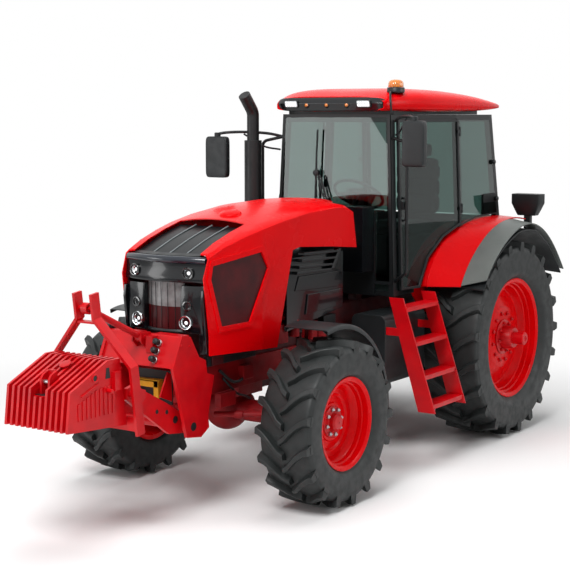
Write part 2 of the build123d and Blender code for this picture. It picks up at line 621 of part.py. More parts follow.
def hood_nose():
    """Black front mask in three bands, with the slotted grille that slopes up behind it."""
    brow = nose_band(NOSE_BROW_Z, NOSE_Z1, NOSE_HALF - 26, -3462, NOSE_BOW)
    brow = chamfer(brow.edges().filter_by(GeomType.CIRCLE).group_by(Axis.Z)[-1], 12)
    seat = hood_half(-3452) - HOOD_WALL - GAP
    lamp_band = nose_band(NOSE_LAMPS_Z, NOSE_BROW_Z, seat, -3452, NOSE_BOW - 12)
    lower = nose_band(NOSE_Z0, NOSE_LAMPS_Z, NOSE_HALF - 12, -3448, NOSE_BOW - 34)
    sides = make_face(Polyline((-318, NOSE_Z0), (318, NOSE_Z0), (NOSE_HALF, NOSE_LAMPS_Z),
                               (-NOSE_HALF, NOSE_LAMPS_Z), close=True))
    plane = Plane(origin=(0, -3400, 0), x_dir=(1, 0, 0), z_dir=(0, -1, 0))
    lower &= extrude(plane * sides, amount=300)
    lower -= side_plate([(-3600, 1280), (-3600, 1560), (-3458, 1580), (-3458, 1268)], -158, 158)
    bars = side_plate([(-3458, 1268), (-3458, 1580), (-3464, 1580), (-3470, 1268)], -8, 8)
    mask = brow + lamp_band + lower + bars + Pos(104, 0, 0) * bars + Pos(-104, 0, 0) * bars
    cheek = side_plate([(-3478, 1300), (-3468, 1112), (HOOD_FRONT - GAP, 1112), (HOOD_FRONT - GAP, 1300)], 300, 340)
    run, rise = GRILLE_REAR - GAP + 3446, 1952 - 1784
    grille = side_plate([(-3446, 1774), (-3446, 1784), (-3446 + run, 1784 + rise), (-3446 + run, 1774 + rise)],
                        -GRILLE_HALF, GRILLE_HALF)
    slots = None
    for bay in (-216, -72, 72, 216):
        for x in (-44, -22, 0, 22, 44):
            slot = box(bay + x - 6, bay + x + 6, -3400, GRILLE_REAR - 40, 1700, 2000)
            slots = slot if slots is None else slots + slot
    for x in (-144, 0, 144):
        grille += side_plate([(-3446, 1780), (-3446, 1792), (-3446 + run, 1792 + rise), (-3446 + run, 1780 + rise)],
                             x - 7, x + 7)
    return mask + mirrored(cheek) + (grille - slots)


nose = hood_nose()
save("hood_nose", nose)

mesh_back = [(hood_half(y) - HOOD_WALL - 10, y, z) for y, z in
             [(-3432, 1736), (-2910, 1797), (-2828, 1662), (-3036, 1284), (-3348, 1280), (-3452, 1630)]]
panel = extrude(make_face(Polyline(mesh_back, close=True)), amount=12, dir=(1, 0, 0))
side_mesh = panel - shell - nose
save("hood_side_mesh", mirrored(side_mesh))

lamps = None
for w, z, r, front in ((232, 1672, 44, -3512), (210, 1332, 48, -3500), (224, 1446, 34, -3490)):
    lamp = bar((w, -3448, z), (w, front, z), r)
    lamps = lamp if lamps is None else lamps + lamp
save("hood_lamps", mirrored(lamps) - nose)

# Cab
SIDE_B, SIDE_C = 0.15, -0.045      # lean of the door plane against Y and Z


def door_x(y, z):
    return 565 + SIDE_B * (y - CAB_FRONT) + SIDE_C * (z - 1394)


def rear_x(z):
    return door_x(DOOR_POST_Y, z)


ARCH_LINE = [(-945, 1362), (-822, 1568), (-625, 1710), (-412, 1795), (-97, 1851), (150, 1862),
             (390, 1856)]


def cab_frame():
    """Floor tub, pillars, rails and walls of the cab."""
    floor = box(-ARCH_IN + 12, ARCH_IN - 12, CAB_FRONT, CAB_REAR, FLOOR_Z - 40, FLOOR_Z)
    sills = mirrored(box(ARCH_IN - 20, door_x(CAB_FRONT, FLOOR_Z), CAB_FRONT, -960, FLOOR_Z - 40, FLOOR_Z))
    a = mirrored(post((door_x(-1270, FLOOR_Z - 40) - 23, -1270, FLOOR_Z - 40),
                      (door_x(-1235, ROOF_Z) - 23, -1235, ROOF_Z), PILLAR, 60))
    b = mirrored(post((rear_x(1790) - 23, -365, 1790), (rear_x(ROOF_Z) - 23, -365, ROOF_Z), PILLAR, 60))
    c = mirrored(post((rear_x(1840) - 23, 350, 1840), (rear_x(ROOF_Z) - 23, 240, ROOF_Z), PILLAR, 70))
    header = box(-door_x(-1235, ROOF_Z), door_x(-1235, ROOF_Z), -1265, -1205, ROOF_Z - 60, ROOF_Z)
    tail = box(-rear_x(ROOF_Z), rear_x(ROOF_Z), 205, 275, ROOF_Z - 60, ROOF_Z)
    rail = mirrored(post((door_x(-1235, ROOF_Z) - 23, -1235, ROOF_Z - 60),
                         (door_x(-1235, ROOF_Z) - 23, -1235, ROOF_Z), PILLAR, 60))
    top = [(door_x(-1235, ROOF_Z), -1235, ROOF_Z - 50), (rear_x(ROOF_Z), DOOR_POST_Y, ROOF_Z - 50),
           (rear_x(ROOF_Z), 250, ROOF_Z - 50), (rear_x(ROOF_Z) - 50, 250, ROOF_Z - 50),
           (rear_x(ROOF_Z) - 50, DOOR_POST_Y, ROOF_Z - 50), (door_x(-1235, ROOF_Z) - 50, -1235, ROOF_Z - 50)]
    rails = mirrored(extrude(make_face(Polyline(top, close=True)), amount=50, dir=(0, 0, 1)))
    wall = mirrored(side_plate([(CAB_FRONT + 20, FLOOR_Z - 40), (-945, FLOOR_Z - 40), (390, FLOOR_Z - 40),
                                (390, 1845)] + [(y, z - 12) for y, z in reversed(ARCH_LINE[:-1])],
                               ARCH_IN - 30 - GAP, ARCH_IN - 10 - GAP))
    back = box(-ARCH_IN + 12, ARCH_IN - 12, 370, 390, FLOOR_Z - 40, 1850)
    front = box(-400, 400, CAB_FRONT - 20, CAB_FRONT, FLOOR_Z - 40, 1960)
    return floor + sills + a + b + c + header + tail + rail + rails + wall + back + front


def band(points, x, drop):
    """Closed side-view strip under a curve through (y, z) points, standing at x."""
    upper = Spline([(x, y, z) for y, z in points])
    lower = Spline([(x, y, z - drop) for y, z in points])
    ends = [Line(upper @ 0, lower @ 0), Line(upper @ 1, lower @ 1)]
    return make_face([upper, lower] + ends)


arch_space = mirrored(extrude(band(ARCH_LINE, ARCH_IN - 11, 300), amount=300, dir=(1, 0, 0)))
cab = cab_frame() - Pos(0, 0, GAP) * arch_space


def cab_roof():
    """Crowned roof cap over the cab."""
    stations = [(-1345, 513, 2800, 2884), (-1200, 560, 2784, 2935), (-900, 625, 2764, 2954),
                (-400, 665, 2758, 2945), (0, 665, 2764, 2905), (300, 640, 2776, 2875), (534, 600, 2790, 2850)]
    sections = []
    for y, half, low, top in stations:
        edge = low + (top - low) * 0.45
        outline = [Line((-half, low), (-half, edge)),
                   Spline((-half, edge), (-half * 0.8, top - 14), (0, top), (half * 0.8, top - 14),
                          (half, edge), tangents=[(0.5, 1), (0.5, -1)]),
                   Line((half, edge), (half, low)), Line((half, low), (-half, low))]
        plane = Plane(origin=(0, y, 0), x_dir=(1, 0, 0), z_dir=(0, -1, 0))
        sections.append(plane * make_face(outline))
    roof = loft(sections)
    base = box(-500, 500, -1200, 270, ROOF_Z + GAP, 2800)
    return roof + base


roof = cab_roof()
save("cab_roof", roof)
visor = side_plate([(-1345 - GAP, 2884), (-1345 - GAP, 2764), (-1372, 2771), (-1400, 2830), (-1375, 2880)], -513, 513)
save("roof_lamp_panel", visor)
roof_lamps = mirrored(box(290, 400, -1412, -1392, 2806, 2856))
for x in (-200, 0, 200):
    roof_lamps += bar((x, -1388, 2822), (x, -1412, 2822), 26)
save("roof_lamps", roof_lamps - visor)

beacon = Pos(440, -1150, 0) * (Pos(0, 0, 2948) * Cylinder(14, 60) + Pos(0, 0, 2985) * Cylinder(48, 14)
                               + Pos(0, 0, 3008) * Cylinder(40, 32))
save("beacon", beacon - Pos(0, 0, GAP) * roof)


def glass_panes():
    """Windscreen, rear side windows and rear window."""
    y0 = -1300 - GAP
    lower, upper = door_x(CAB_FRONT, FLOOR_Z) - 4, door_x(-1235, ROOF_Z) - 4
    outline = [(-lower, 1394), (-410, 1394), (-410, 1970), (410, 1970), (410, 1394), (lower, 1394),
               (upper, 2700), (-upper, 2700)]
    lean = (-1265 + 1300) / (ROOF_Z - 1300)
    pts = [(x, y0 + lean * (z - 1300), z) for x, z in outline]
    screen = extrude(make_face(Polyline(pts, close=True)), amount=GLASS, dir=(0, -1, 0))
    side = [(-330 + GAP, 1840), (-330 + GAP, 2690), (211 - GAP, 2690), (311 - GAP, 1868), (-97, 1858)]
    pane = extrude(make_face(Polyline([(rear_x(z) - 20, y, z) for y, z in side], close=True)),
                   amount=GLASS, dir=(1, 0, 0))
    low, high = 382.6 + GAP, 281.1 + GAP
    back = extrude(make_face(Polyline([(-640, low, 1860), (640, low, 1860), (610, high, 2690),
                                       (-610, high, 2690)], close=True)), amount=GLASS, dir=(0, 1, 0))
    return screen + mirrored(pane) + back


glass = glass_panes() - cab
save("cab_glass", glass)


def door_faces():
    """Door outline on its leaning plane, from (y, z) points."""
    line = [(CAB_FRONT + 62, FLOOR_Z + 6), (-985, FLOOR_Z + 6), (-862, 1580), (-655, 1734), (-405, 1828),
            (-405, ROOF_Z - 66), (-1202, ROOF_Z - 66)]
    return line


def door_hinge(z):
    """Door half and post half of one hinge, on an axis that leans with the door post."""
    axis = Vector(SIDE_C, 0, 1).normalized()
    c = Vector(door_x(DOOR_POST_Y, z) + DOOR_AXIS_OUT, DOOR_AXIS_Y, z)
    leaf = bar(c - axis * 15, c + axis * 15, 14) + bar(c - axis * 38, c + axis * 38, HINGE_R)
    leaf += box(c.X - 11, c.X + 8, DOOR_POST_Y - 20, DOOR_AXIS_Y, z - 14, z + 14)
    post_side = None
    for s in (-1, 1):
        ear = bar(c + axis * s * (15 + GAP), c + axis * s * 40, 14)
        ear += box(c.X - DOOR_AXIS_OUT - 6, c.X, DOOR_AXIS_Y - 12, DOOR_AXIS_Y + 12, z + s * 28 - 10, z + s * 28 + 10)
        post_side = ear if post_side is None else post_side + ear
    return leaf, post_side - bar(c - axis * 60, c + axis * 60, HINGE_R + RUN)


def door_panel():
    outer = Polyline([(door_x(y, z) + DOOR_GAP, y, z) for y, z in door_faces()], close=True)
    face = make_face(outer)
    full = extrude(face, amount=24, dir=(1, 0, 0))
    cut = offset(face, amount=-44, kind=Kind.INTERSECTION)
    hole = extrude(cut, amount=24, dir=(1, 0, 0))
    frame = full - hole
    glass = extrude(offset(face, amount=-44 - GAP, kind=Kind.INTERSECTION), amount=GLASS, dir=(1, 0, 0))
    glass = Pos(8, 0, 0) * glass
    x = door_x(-1180, 1990) + 25
    handle = box(x - 2, x + 40, -1190, -1165, 1930, 2080)
    for z in HINGES:
        frame += door_hinge(z)[0]
    return frame + handle, glass


door_frame, door_glass = door_panel()
for z in HINGES:
    cab += mirrored(door_hinge(z)[1])
save("cab_frame", cab)
door_frame = door_frame - Pos(0, -DOOR_GAP, DOOR_GAP) * arch_space
save("door_left_frame", door_frame)
door_glass -= door_frame
save("door_left_glass", door_glass)
save("door_right_frame", mirror(door_frame, about=Plane.YZ))
save("door_right_glass", mirror(door_glass, about=Plane.YZ))

seat_base = box(-180, 180, -350, 50, FLOOR_Z + GAP, 1700)
column = post((0, -1150, FLOOR_Z), (0, -1060, 1900), 160, 140)
dash = box(-230, 230, -1230, -1040, 1880, 2000)
save("cab_console", seat_base + column + dash)
save("seat_cushions", box(-250, 250, -420, 80, 1700 + GAP, 1820) + box(-240, 240, 60, 180, 1820 + GAP, 2460))
wheel = Pos(0, -900, 2080) * Rot(-35, 0, 0) * (Torus(210, 14) + Box(410, 30, 14) + Pos(0, 0, -125) * Cylinder(24, 250))
save("steering_wheel", wheel - Pos(0, GAP, 0) * (dash + column) - Pos(0, 0, GAP) * (dash + column))

# Mirrors, handrails, exhaust
def mirror_set():
    left = box(805, 1012, -1640, -1590, 2350, 2681)
    right = box(-1049, -827, -1640, -1590, 2220, 2564)
    arm_l = tube([(door_x(-1240, 2690) + GAP, -1240, 2690), (585, -1240, 2700), (700, -1450, 2725),
                  (908, -1615, 2740), (908, -1615, 2680)], 12, 28)
    arm_r = tube([(-door_x(-1240, 2620) - GAP, -1240, 2620), (-580, -1240, 2625), (-580, -1600, 2640),
                  (-938, -1615, 2640), (-938, -1615, 2560)], 12, 28)
    return left + right + arm_l + arm_r


save("mirrors", mirror_set() - cab - glass)

exhaust = Pos(-690, -1450, 0) * (Pos(0, 0, 2130) * Cylinder(72, 800))
exhaust += tube([(-690, -1450, 2500), (-690, -1450, 2760), (-700, -1560, 2900)], 50, 90)
exhaust += tube([(-690, -1450, 1760), (-690, -1450, 1590), (-600, -1720, 1580), (-345 - GAP, -1720, 1580)], 48, 70)
save("exhaust", exhaust)

rail = tube([(door_x(-1250, 2560) + GAP, -1250, 2560), (690, -1310, 2520), (690, -1310, 1500),
             (door_x(-1270, 1420) + GAP, -1270, 1420)], 13, 50)
save("handrails", mirrored(rail) - cab)

cowl = side_plate([(-2480, 1150), (-2480, 1690), (-1700, 1690), (-1700, 1250)], 330, 345)
for z in (1250, 1550):
    cowl += box(RAIL_X, 335, -2270, -2230, z, z + 30)
bulkhead = box(-395, 395, -1490, CAB_FRONT - 20 - GAP, 1500, 2015)
ear = side_plate([(-1487, 1990), (-1487, 2015), (HINGE_Y - 4, HINGE_Z + 14), (HINGE_Y - 14, HINGE_Z - 6),
                  (HINGE_Y, HINGE_Z - 16)], 70, 84) - along_x(HINGE_Y, HINGE_Z, HINGE_R + RUN, 60, 90)
save("cowl_panels", mirrored(cowl) + bulkhead + mirrored(ear))


# Rear fenders
RED_LINE = [(-735, 1352), (-600, 1515), (-455, 1632), (-280, 1738), (-40, 1818), (191, 1850), (493, 1830)]
LIP_LINE = [(-690, 1412), (-530, 1568), (-335, 1695), (-139, 1779), (34, 1818), (308, 1790), (563, 1660),
            (765, 1481), (870, 1366)]
EDGE_LINE = [(-735, 1358), (-600, 1520), (-400, 1672), (-170, 1784), (34, 1835), (308, 1830), (563, 1720),
             (765, 1530), (880, 1400)]


def rear_fender():
    top = loft([band(ARCH_LINE, ARCH_CAB, ARCH_T), band(RED_LINE, ARCH_RED, ARCH_T)], ruled=True)
    inner = extrude(band(ARCH_LINE, ARCH_IN, ARCH_T), amount=ARCH_CAB - ARCH_IN, dir=(1, 0, 0))
    x = ARCH_IN - ARCH_T
    crest = Spline([(x, y, z - ARCH_T / 2) for y, z in ARCH_LINE])
    (y0, z0), (y1, z1) = ARCH_LINE[0], ARCH_LINE[-1]
    skirt = Polyline((x, y0, z0 - ARCH_T / 2), (x, y0 + 245, 1100), (x, y1, 1100), (x, y1, z1 - ARCH_T / 2))
    wall = extrude(make_face([crest, skirt]), amount=ARCH_T * 1.5, dir=(1, 0, 0))
    return top + inner + wall


def fender_extension():
    return loft([band(EDGE_LINE, ARCH_RED + GAP, ARCH_T), band(LIP_LINE, ARCH_OUT, ARCH_T)], ruled=True)


save("rear_fenders", mirrored(rear_fender()))
save("fender_extensions", mirrored(fender_extension()))
lamp_box = side_plate([(500, 1850), (500, 2043), (620, 2043), (620, 1880)], 731, 1000)
stem = box(900, 960, 520, 570, 1600, 1870)
under = loft([band(EDGE_LINE, ARCH_RED, 300), band(LIP_LINE, ARCH_OUT, 300)], ruled=True)
save("rear_lamp_boxes", mirrored(lamp_box + (stem - Pos(0, 0, GAP) * under)))


# Ladders
def ladder():
    out = None
    for top_y, low_y in ((-1545, -1485), (-1030, -975)):
        rail = loft([Pos(737, top_y, 1330) * Rectangle(125, 12), Pos(985, low_y, 440) * Rectangle(150, 12)],
                    ruled=True)
        out = rail if out is None else out + rail
        lean = (low_y - top_y) * 270 / 890
        out += box(TANK_X1 + GAP, 770, top_y + lean - 6, top_y + lean + 6, 1030, 1090)
    for z in STEPS:
        t = (1330 - z) / (1330 - 440)
        x = 737 + (985 - 737) * t
        y = -1545 + 60 * t
        out += box(x - 62, x + 66, y, y + 514, z - STEP_T / 2, z + STEP_T / 2)
    return out


save("ladders", mirrored(ladder()))

# Rear linkage
LINK_PIVOT = (120, 620)
LINK_END = (REAR_REACH - 40, 640)
LIFT_PIVOT = (395, 1170)
LIFT_TIP = (815, 1235)
ROD_FOOT = (800, 640)
LIFT_SHAFT_R = 32
LINK_PIN_R = 16


def lower_links():
    (ay, az), (by, bz) = LINK_PIVOT, LINK_END
    link = bar((300, ay, az), (430, by, bz), 24) + along_x(ay, az, 40, 280, 320)
    ball = along_x(by, bz, 40, 405, 455) - along_x(by, bz, 14.5, 400, 460)
    return mirrored(link - along_x(ay, az, LINK_PIN_R + RUN, 200, 400) - along_x(by, bz, 20, 400, 460) + ball)


def rear_lift_arms():
    """Cross shaft of the rear lift with its two arms."""
    (y, z), (ty, tz) = LIFT_PIVOT, LIFT_TIP
    shaft = along_x(y, z, LIFT_SHAFT_R, -330, 330)
    arm = side_plate([(y - 50, z - 40), (y - 50, z + 40), (ty + 30, tz + 30), (ty + 30, tz - 30)], 290, 330)
    pin = along_x(ty, tz, PIN_R, 290, 372)
    return shaft + mirrored(arm + pin)


def rear_lift_rods():
    """Lift rods that hang from the arms beside the lower links."""
    (ty, tz), (fy, fz) = LIFT_TIP, ROD_FOOT
    eye = along_x(ty, tz, 32, 331, 371) - along_x(ty, tz, PIN_R + RUN, 320, 380)
    rod = bar((351, ty, tz - 30), (351, fy, fz + 30), 16)
    foot = along_x(fy, fz, 30, 336, 356)
    return mirrored(eye + rod + foot)


save("rear_lower_links", lower_links())
save("rear_lift_arms", rear_lift_arms())
save("rear_lift_rods", rear_lift_rods())
lift_case = box(-190, 190, 300 + GAP, 460, 1080, 1240)
lift_case -= along_x(*LIFT_PIVOT, LIFT_SHAFT_R + RUN, -400, 400)
pins = mirrored(along_x(*LINK_PIVOT, LINK_PIN_R, GEARBOX_HALF + GAP, 330))
save("rear_linkage_case", lift_case + pins)
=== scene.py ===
import json
import math

import bmesh
import bpy
import mathutils
import numpy as np
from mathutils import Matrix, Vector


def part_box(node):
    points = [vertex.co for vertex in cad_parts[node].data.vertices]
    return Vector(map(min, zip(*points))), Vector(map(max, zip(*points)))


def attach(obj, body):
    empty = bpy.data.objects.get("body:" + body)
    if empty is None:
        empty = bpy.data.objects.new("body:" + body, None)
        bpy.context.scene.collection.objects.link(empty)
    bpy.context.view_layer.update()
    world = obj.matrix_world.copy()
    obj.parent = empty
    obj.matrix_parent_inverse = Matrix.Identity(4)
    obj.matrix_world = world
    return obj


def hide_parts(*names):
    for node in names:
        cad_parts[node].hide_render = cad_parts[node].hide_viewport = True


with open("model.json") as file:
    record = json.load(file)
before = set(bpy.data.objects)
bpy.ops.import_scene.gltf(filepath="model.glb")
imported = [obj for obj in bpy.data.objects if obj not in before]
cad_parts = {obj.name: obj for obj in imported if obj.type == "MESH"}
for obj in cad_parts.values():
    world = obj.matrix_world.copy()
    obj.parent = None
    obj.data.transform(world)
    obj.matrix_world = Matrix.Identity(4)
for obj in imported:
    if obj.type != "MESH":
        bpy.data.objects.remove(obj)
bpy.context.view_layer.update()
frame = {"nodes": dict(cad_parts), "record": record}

MM = 0.001
CENTRE_Y = 1.806            # rear axle to the middle of the machine
WHEELBASE = 2.760

# metres: middle plane and centre of each wheel, its tyre, its rim and the bars of its tread
WHEELS = {
    "front": dict(x_mid=0.870, centre_y=CENTRE_Y - WHEELBASE, radius=0.595, width=0.420, rim_r=0.330,
                  rim_half=0.176, lugs=17, trail=0.180, lug_w=0.034, lug_h=0.042),
    "rear": dict(x_mid=0.800, centre_y=CENTRE_Y, radius=0.840, width=0.520, rim_r=0.508,
                 rim_half=0.214, lugs=21, trail=0.180, lug_w=0.042, lug_h=0.048),
}
# millimetres from the rear axle
FRONT_AXLE = (-2760, 595)   # Y and Z of the front wheels' centre
BEACON = (490, -1150)
BALLAST_HALF = 270          # half the width of the ballast block
ARM_FACE = 262              # outer face of the front lower arms
LAMP_BAND_Z = 2822          # middle of the lamp band in the roof's front


# Materials
def linear(code):
    """sRGB hex code to linear red, green, blue and a full alpha."""
    part = np.array([int(code[i:i + 2], 16) for i in (1, 3, 5)]) / 255
    part = np.where(part <= 0.04045, part / 12.92, ((part + 0.055) / 1.055) ** 2.4)
    return [float(v) for v in part] + [1.0]


def add(tree, kind, settings=None, links=None):
    """Adds one node, sets its properties and sockets, and links its inputs."""
    node = tree.nodes.new(kind)
    for name, value in (settings or {}).items():
        if isinstance(name, str) and hasattr(node, name):
            setattr(node, name, value)
        else:
            node.inputs[name].default_value = value
    for name, source in (links or {}).items():
        tree.links.new(source, node.inputs[name])
    return node


def material(name, colour, roughness, metallic=0.0, ior=1.5, extra=None, bump=None, vary=None, worn=None):
    """A shader for one real finish, on Object coordinates.

    bump is (depth mm, grain mm); vary is (second colour, patch mm, share) and mixes the second
    colour in soft patches; worn is (roughness added, patch mm) for handled or dusty areas.
    """
    mat = bpy.data.materials.new(name)
    mat.use_nodes = True
    tree = mat.node_tree
    shader = tree.nodes["Principled BSDF"]
    shader.inputs["Base Color"].default_value = linear(colour)
    shader.inputs["Roughness"].default_value = roughness
    shader.inputs["Metallic"].default_value = metallic
    if not metallic:
        shader.inputs["IOR"].default_value = ior
    for key, value in (extra or {}).items():
        shader.inputs[key].default_value = value
    place = add(tree, "ShaderNodeTexCoord")
    if bump:
        depth, grain = bump
        noise = add(tree, "ShaderNodeTexNoise", {"Scale": 1 / (grain * MM), "Detail": 3.0},
                    {"Vector": place.outputs["Object"]})
        rough = add(tree, "ShaderNodeBump", {"Distance": depth * MM, "Strength": 1.0},
                    {"Height": noise.outputs["Fac"]})
        tree.links.new(rough.outputs["Normal"], shader.inputs["Normal"])
    if vary:
        second, patch, share = vary
        noise = add(tree, "ShaderNodeTexNoise", {"Scale": 1 / (patch * MM), "Detail": 4.0},
                    {"Vector": place.outputs["Object"]})
        level = add(tree, "ShaderNodeMapRange", {"From Min": 0.35, "From Max": 0.7, "To Max": share},
                    {"Value": noise.outputs["Fac"]})
        mix = add(tree, "ShaderNodeMixRGB", {"Color1": linear(colour), "Color2": linear(second)},
                  {"Fac": level.outputs["Result"]})
        tree.links.new(mix.outputs["Color"], shader.inputs["Base Color"])
    if worn:
        gain, patch = worn
        noise = add(tree, "ShaderNodeTexNoise", {"Scale": 1 / (patch * MM), "Detail": 5.0},
                    {"Vector": place.outputs["Object"]})
        level = add(tree, "ShaderNodeMapRange",
                    {"From Min": 0.4, "From Max": 0.65, "To Min": roughness, "To Max": roughness + gain},
                    {"Value": noise.outputs["Fac"]})
        tree.links.new(level.outputs["Result"], shader.inputs["Roughness"])
    return mat


# Two-layer enamel on pressed sheet: deep red, wet gloss, faintly uneven like sprayed paint.
enamel = material("red_enamel_sprayed", "#e00007", 0.24, vary=("#cc0008", 420, 0.5), worn=(0.06, 260),
                  extra={"Specular IOR Level": 0.1, "Coat Weight": 0.05, "Coat Roughness": 0.04})
# Same colour on castings, brackets and rims: thinner coat over a slightly rough casting skin.
casting_red = material("red_enamel_on_castings", "#cf000d", 0.34, vary=("#a50410", 160, 0.6), worn=(0.1, 90),
                       extra={"Specular IOR Level": 0.3, "Coat Weight": 0.12, "Coat Roughness": 0.16},
                       bump=(0.3, 7))
# The same enamel on the frame, axle, knuckles and red parts of the engine bay, painted darker as painted
# shade for where they sit under the hood, and dulled.
casting_shade = material("red_enamel_painted_shade", "#93070f", 0.48, vary=("#5b070d", 140, 0.7),
                         worn=(0.15, 80), extra={"Specular IOR Level": 0.25}, bump=(0.4, 6))
# Dark red on gearbox, engine and axles: the enamel painted much darker as painted shade for where they sit
# under the hood and cab, and dulled.
casting_dark = material("dark_red_cast_iron_painted_shade", "#4d0a0f", 0.5, vary=("#1c0e10", 120, 0.7),
                        worn=(0.15, 70), extra={"Specular IOR Level": 0.3}, bump=(0.5, 6))
# Tyre rubber: charcoal, a soft sheen on the lugs and a fine mould grain.
tyre_rubber = material("tyre_rubber_moulded", "#1d2121", 0.46, ior=1.52, vary=("#141717", 90, 0.8),
                       extra={"Specular IOR Level": 0.42}, worn=(0.18, 60), bump=(0.15, 5))
# Grained ABS of fenders, tanks and mirror shells.
black_abs = material("black_abs_grained", "#181c1e", 0.38, ior=1.53, vary=("#101314", 200, 0.6),
                     bump=(0.12, 3), extra={"Specular IOR Level": 0.36}, worn=(0.1, 80))
# Lacquered mask and lamp panels, with the blue-black depth of piano lacquer.
piano_black = material("black_abs_lacquered", "#0b0e12", 0.2, ior=1.53, vary=("#040507", 300, 0.5),
                       extra={"Specular IOR Level": 0.3, "Coat Weight": 0.35, "Coat Roughness": 0.04})
# Powder-coated steel of the cab frame and rails: fine orange-peel.
powder_black = material("black_powder_coat", "#0f1213", 0.38, bump=(0.08, 2.5), vary=("#191d20", 150, 0.4),
                        extra={"Specular IOR Level": 0.36})
# Grey rubber of the fender extensions.
fender_rubber = material("grey_rubber_moulded", "#666b68", 0.42, bump=(0.1, 4), vary=("#565b59", 180, 0.6),
                         extra={"Specular IOR Level": 0.4})
# Green-tinted safety glass: thin sheets that let the cab show through.
cab_glass = material("tinted_safety_glass", "#6f8a84", 0.0, ior=1.45, extra={"Transmission Weight": 1.0})
# Vacuum-coated aluminium of reflectors and mirror faces: bright, with the room in it.
reflector = material("aluminised_reflector", "#dfe3e6", 0.12, metallic=1.0)
# Lit lamp: a white face that glows a little and doesn't clip.
led_white = material("led_lamp_lit", "#f6f9fc", 0.2, extra={"Emission Color": linear("#ffffff"),
                                                           "Emission Strength": 0.5})
# Moulded amber polycarbonate: orange with darker depths and a hard gloss.
amber_lens = material("amber_polycarbonate", "#e0800c", 0.16, ior=1.58, extra={"Coat Weight": 1.0},
                      vary=("#b85a04", 14, 0.7))
# Moulded polyethylene of the shaft guard: waxy yellow, half matt.
guard_yellow = material("yellow_polyethylene", "#d8a01c", 0.42, vary=("#b98410", 60, 0.5), bump=(0.1, 3))
# Zinc-plated steel of couplers, nuts and pins: pale grey with blurred highlights.
bare_steel = material("zinc_plated_steel", "#b0b3b5", 0.3, metallic=1.0, worn=(0.15, 20))
# Woven cloth of the seat: a thread relief, drawn at 4 mm so that it shows.
seat_cloth = material("woven_seat_cloth", "#26282c", 0.9, bump=(0.6, 4), vary=("#3a3d42", 8, 0.5),
                      extra={"Sheen Weight": 0.3})
# Heat-resistant paint of the exhaust: near black, matt where heat has browned it.
exhaust_black = material("heat_resistant_black", "#121416", 0.36, vary=("#1d1a19", 120, 0.5), worn=(0.15, 50),
                         extra={"Specular IOR Level": 0.4})
# Wire mesh of the side window: dark red cloth of wire, woven at 9 mm so that it shows.
mesh_red = material("dark_red_wire_mesh", "#4a080d", 0.34, bump=(0.6, 9), vary=("#2a0508", 110, 0.8),
                    extra={"Specular IOR Level": 0.2, "Coat Weight": 0.1, "Coat Roughness": 0.15})
# Lacquered brow over the lamps: blue-black and glossy.
brow_blue = material("blue_black_lacquer", "#131c29", 0.2, ior=1.53, vary=("#0a0e16", 260, 0.5),
                     extra={"Specular IOR Level": 0.4, "Coat Weight": 0.5, "Coat Roughness": 0.04})
# Steel wire mesh of the nose, painted light grey as a painted reflection of the white room, and of the
# grille, blackened: woven at 2 mm, drawn at 7 mm to show.
mesh_grey = material("grey_wire_mesh_painted_reflection", "#8b8d8d", 0.42, metallic=0.3, bump=(0.5, 7),
                     vary=("#6a6667", 60, 0.9))
mesh_black = material("black_wire_mesh", "#0b0e10", 0.3, bump=(0.3, 7), vary=("#14181b", 90, 0.6),
                      extra={"Specular IOR Level": 0.2})
# Satin steel strips across the grille: mid grey lines with a soft sheen.
rib_grey = material("satin_grey_steel_strip", "#6f7678", 0.35, worn=(0.1, 40))
# Smoked polycarbonate of unlit lamps: black glass with a sharp highlight.
lens_dark = material("smoked_polycarbonate", "#0c0e10", 0.08, ior=1.58, extra={"Coat Weight": 1.0})
# Grained lining of the console: dark grey and matt.
console_grey = material("dark_grey_cab_lining", "#2b2e31", 0.6, bump=(0.2, 4), vary=("#1e2022", 120, 0.5))

FINISH = {
    "engine": casting_dark, "chassis_frame": casting_shade, "front_axle": casting_shade,
    "transmission": casting_dark, "fuel_tanks": black_abs, "ladders": casting_red,
    "cab_frame": powder_black, "cab_roof": enamel, "roof_lamp_panel": piano_black, "roof_lamps": led_white,
    "beacon": amber_lens, "cab_glass": cab_glass, "cab_console": console_grey, "seat_cushions": seat_cloth,
    "steering_wheel": black_abs, "mirrors": black_abs, "handrails": powder_black,
    "exhaust": exhaust_black, "cowl_panels": piano_black, "rear_fenders": enamel,
    "fender_extensions": fender_rubber, "rear_lamp_boxes": black_abs, "hitch_frame": casting_red,
    "pto_guard": guard_yellow, "hitch_couplers": bare_steel, "rear_linkage_case": casting_dark,
    "hood_shell": enamel, "hood_nose": piano_black, "hood_side_mesh": mesh_red,
    "hood_lamps": led_white, "front_lift_arms": casting_red, "front_top_link": casting_red,
    "ballast_block": casting_red, "ballast_mast": casting_red, "rear_lower_links": powder_black,
    "rear_lift_arms": casting_red, "rear_lift_rods": powder_black,
}
for side in ("left", "right"):
    FINISH[f"door_{side}_frame"] = powder_black
    FINISH[f"door_{side}_glass"] = cab_glass
    FINISH[f"knuckle_{side}"] = casting_shade
    FINISH[f"front_fender_{side}"] = black_abs
    for axle in ("front", "rear"):
        FINISH[f"{axle}_tyre_{side}"] = tyre_rubber
        FINISH[f"{axle}_rim_{side}"] = enamel
for name, node in frame["nodes"].items():
    node.data.materials.clear()
    node.data.materials.append(FINISH[name])


BODY = {}
for body, nodes in frame["record"]["behaviour"]["bodies"].items():
    for node in nodes:
        BODY[node] = body


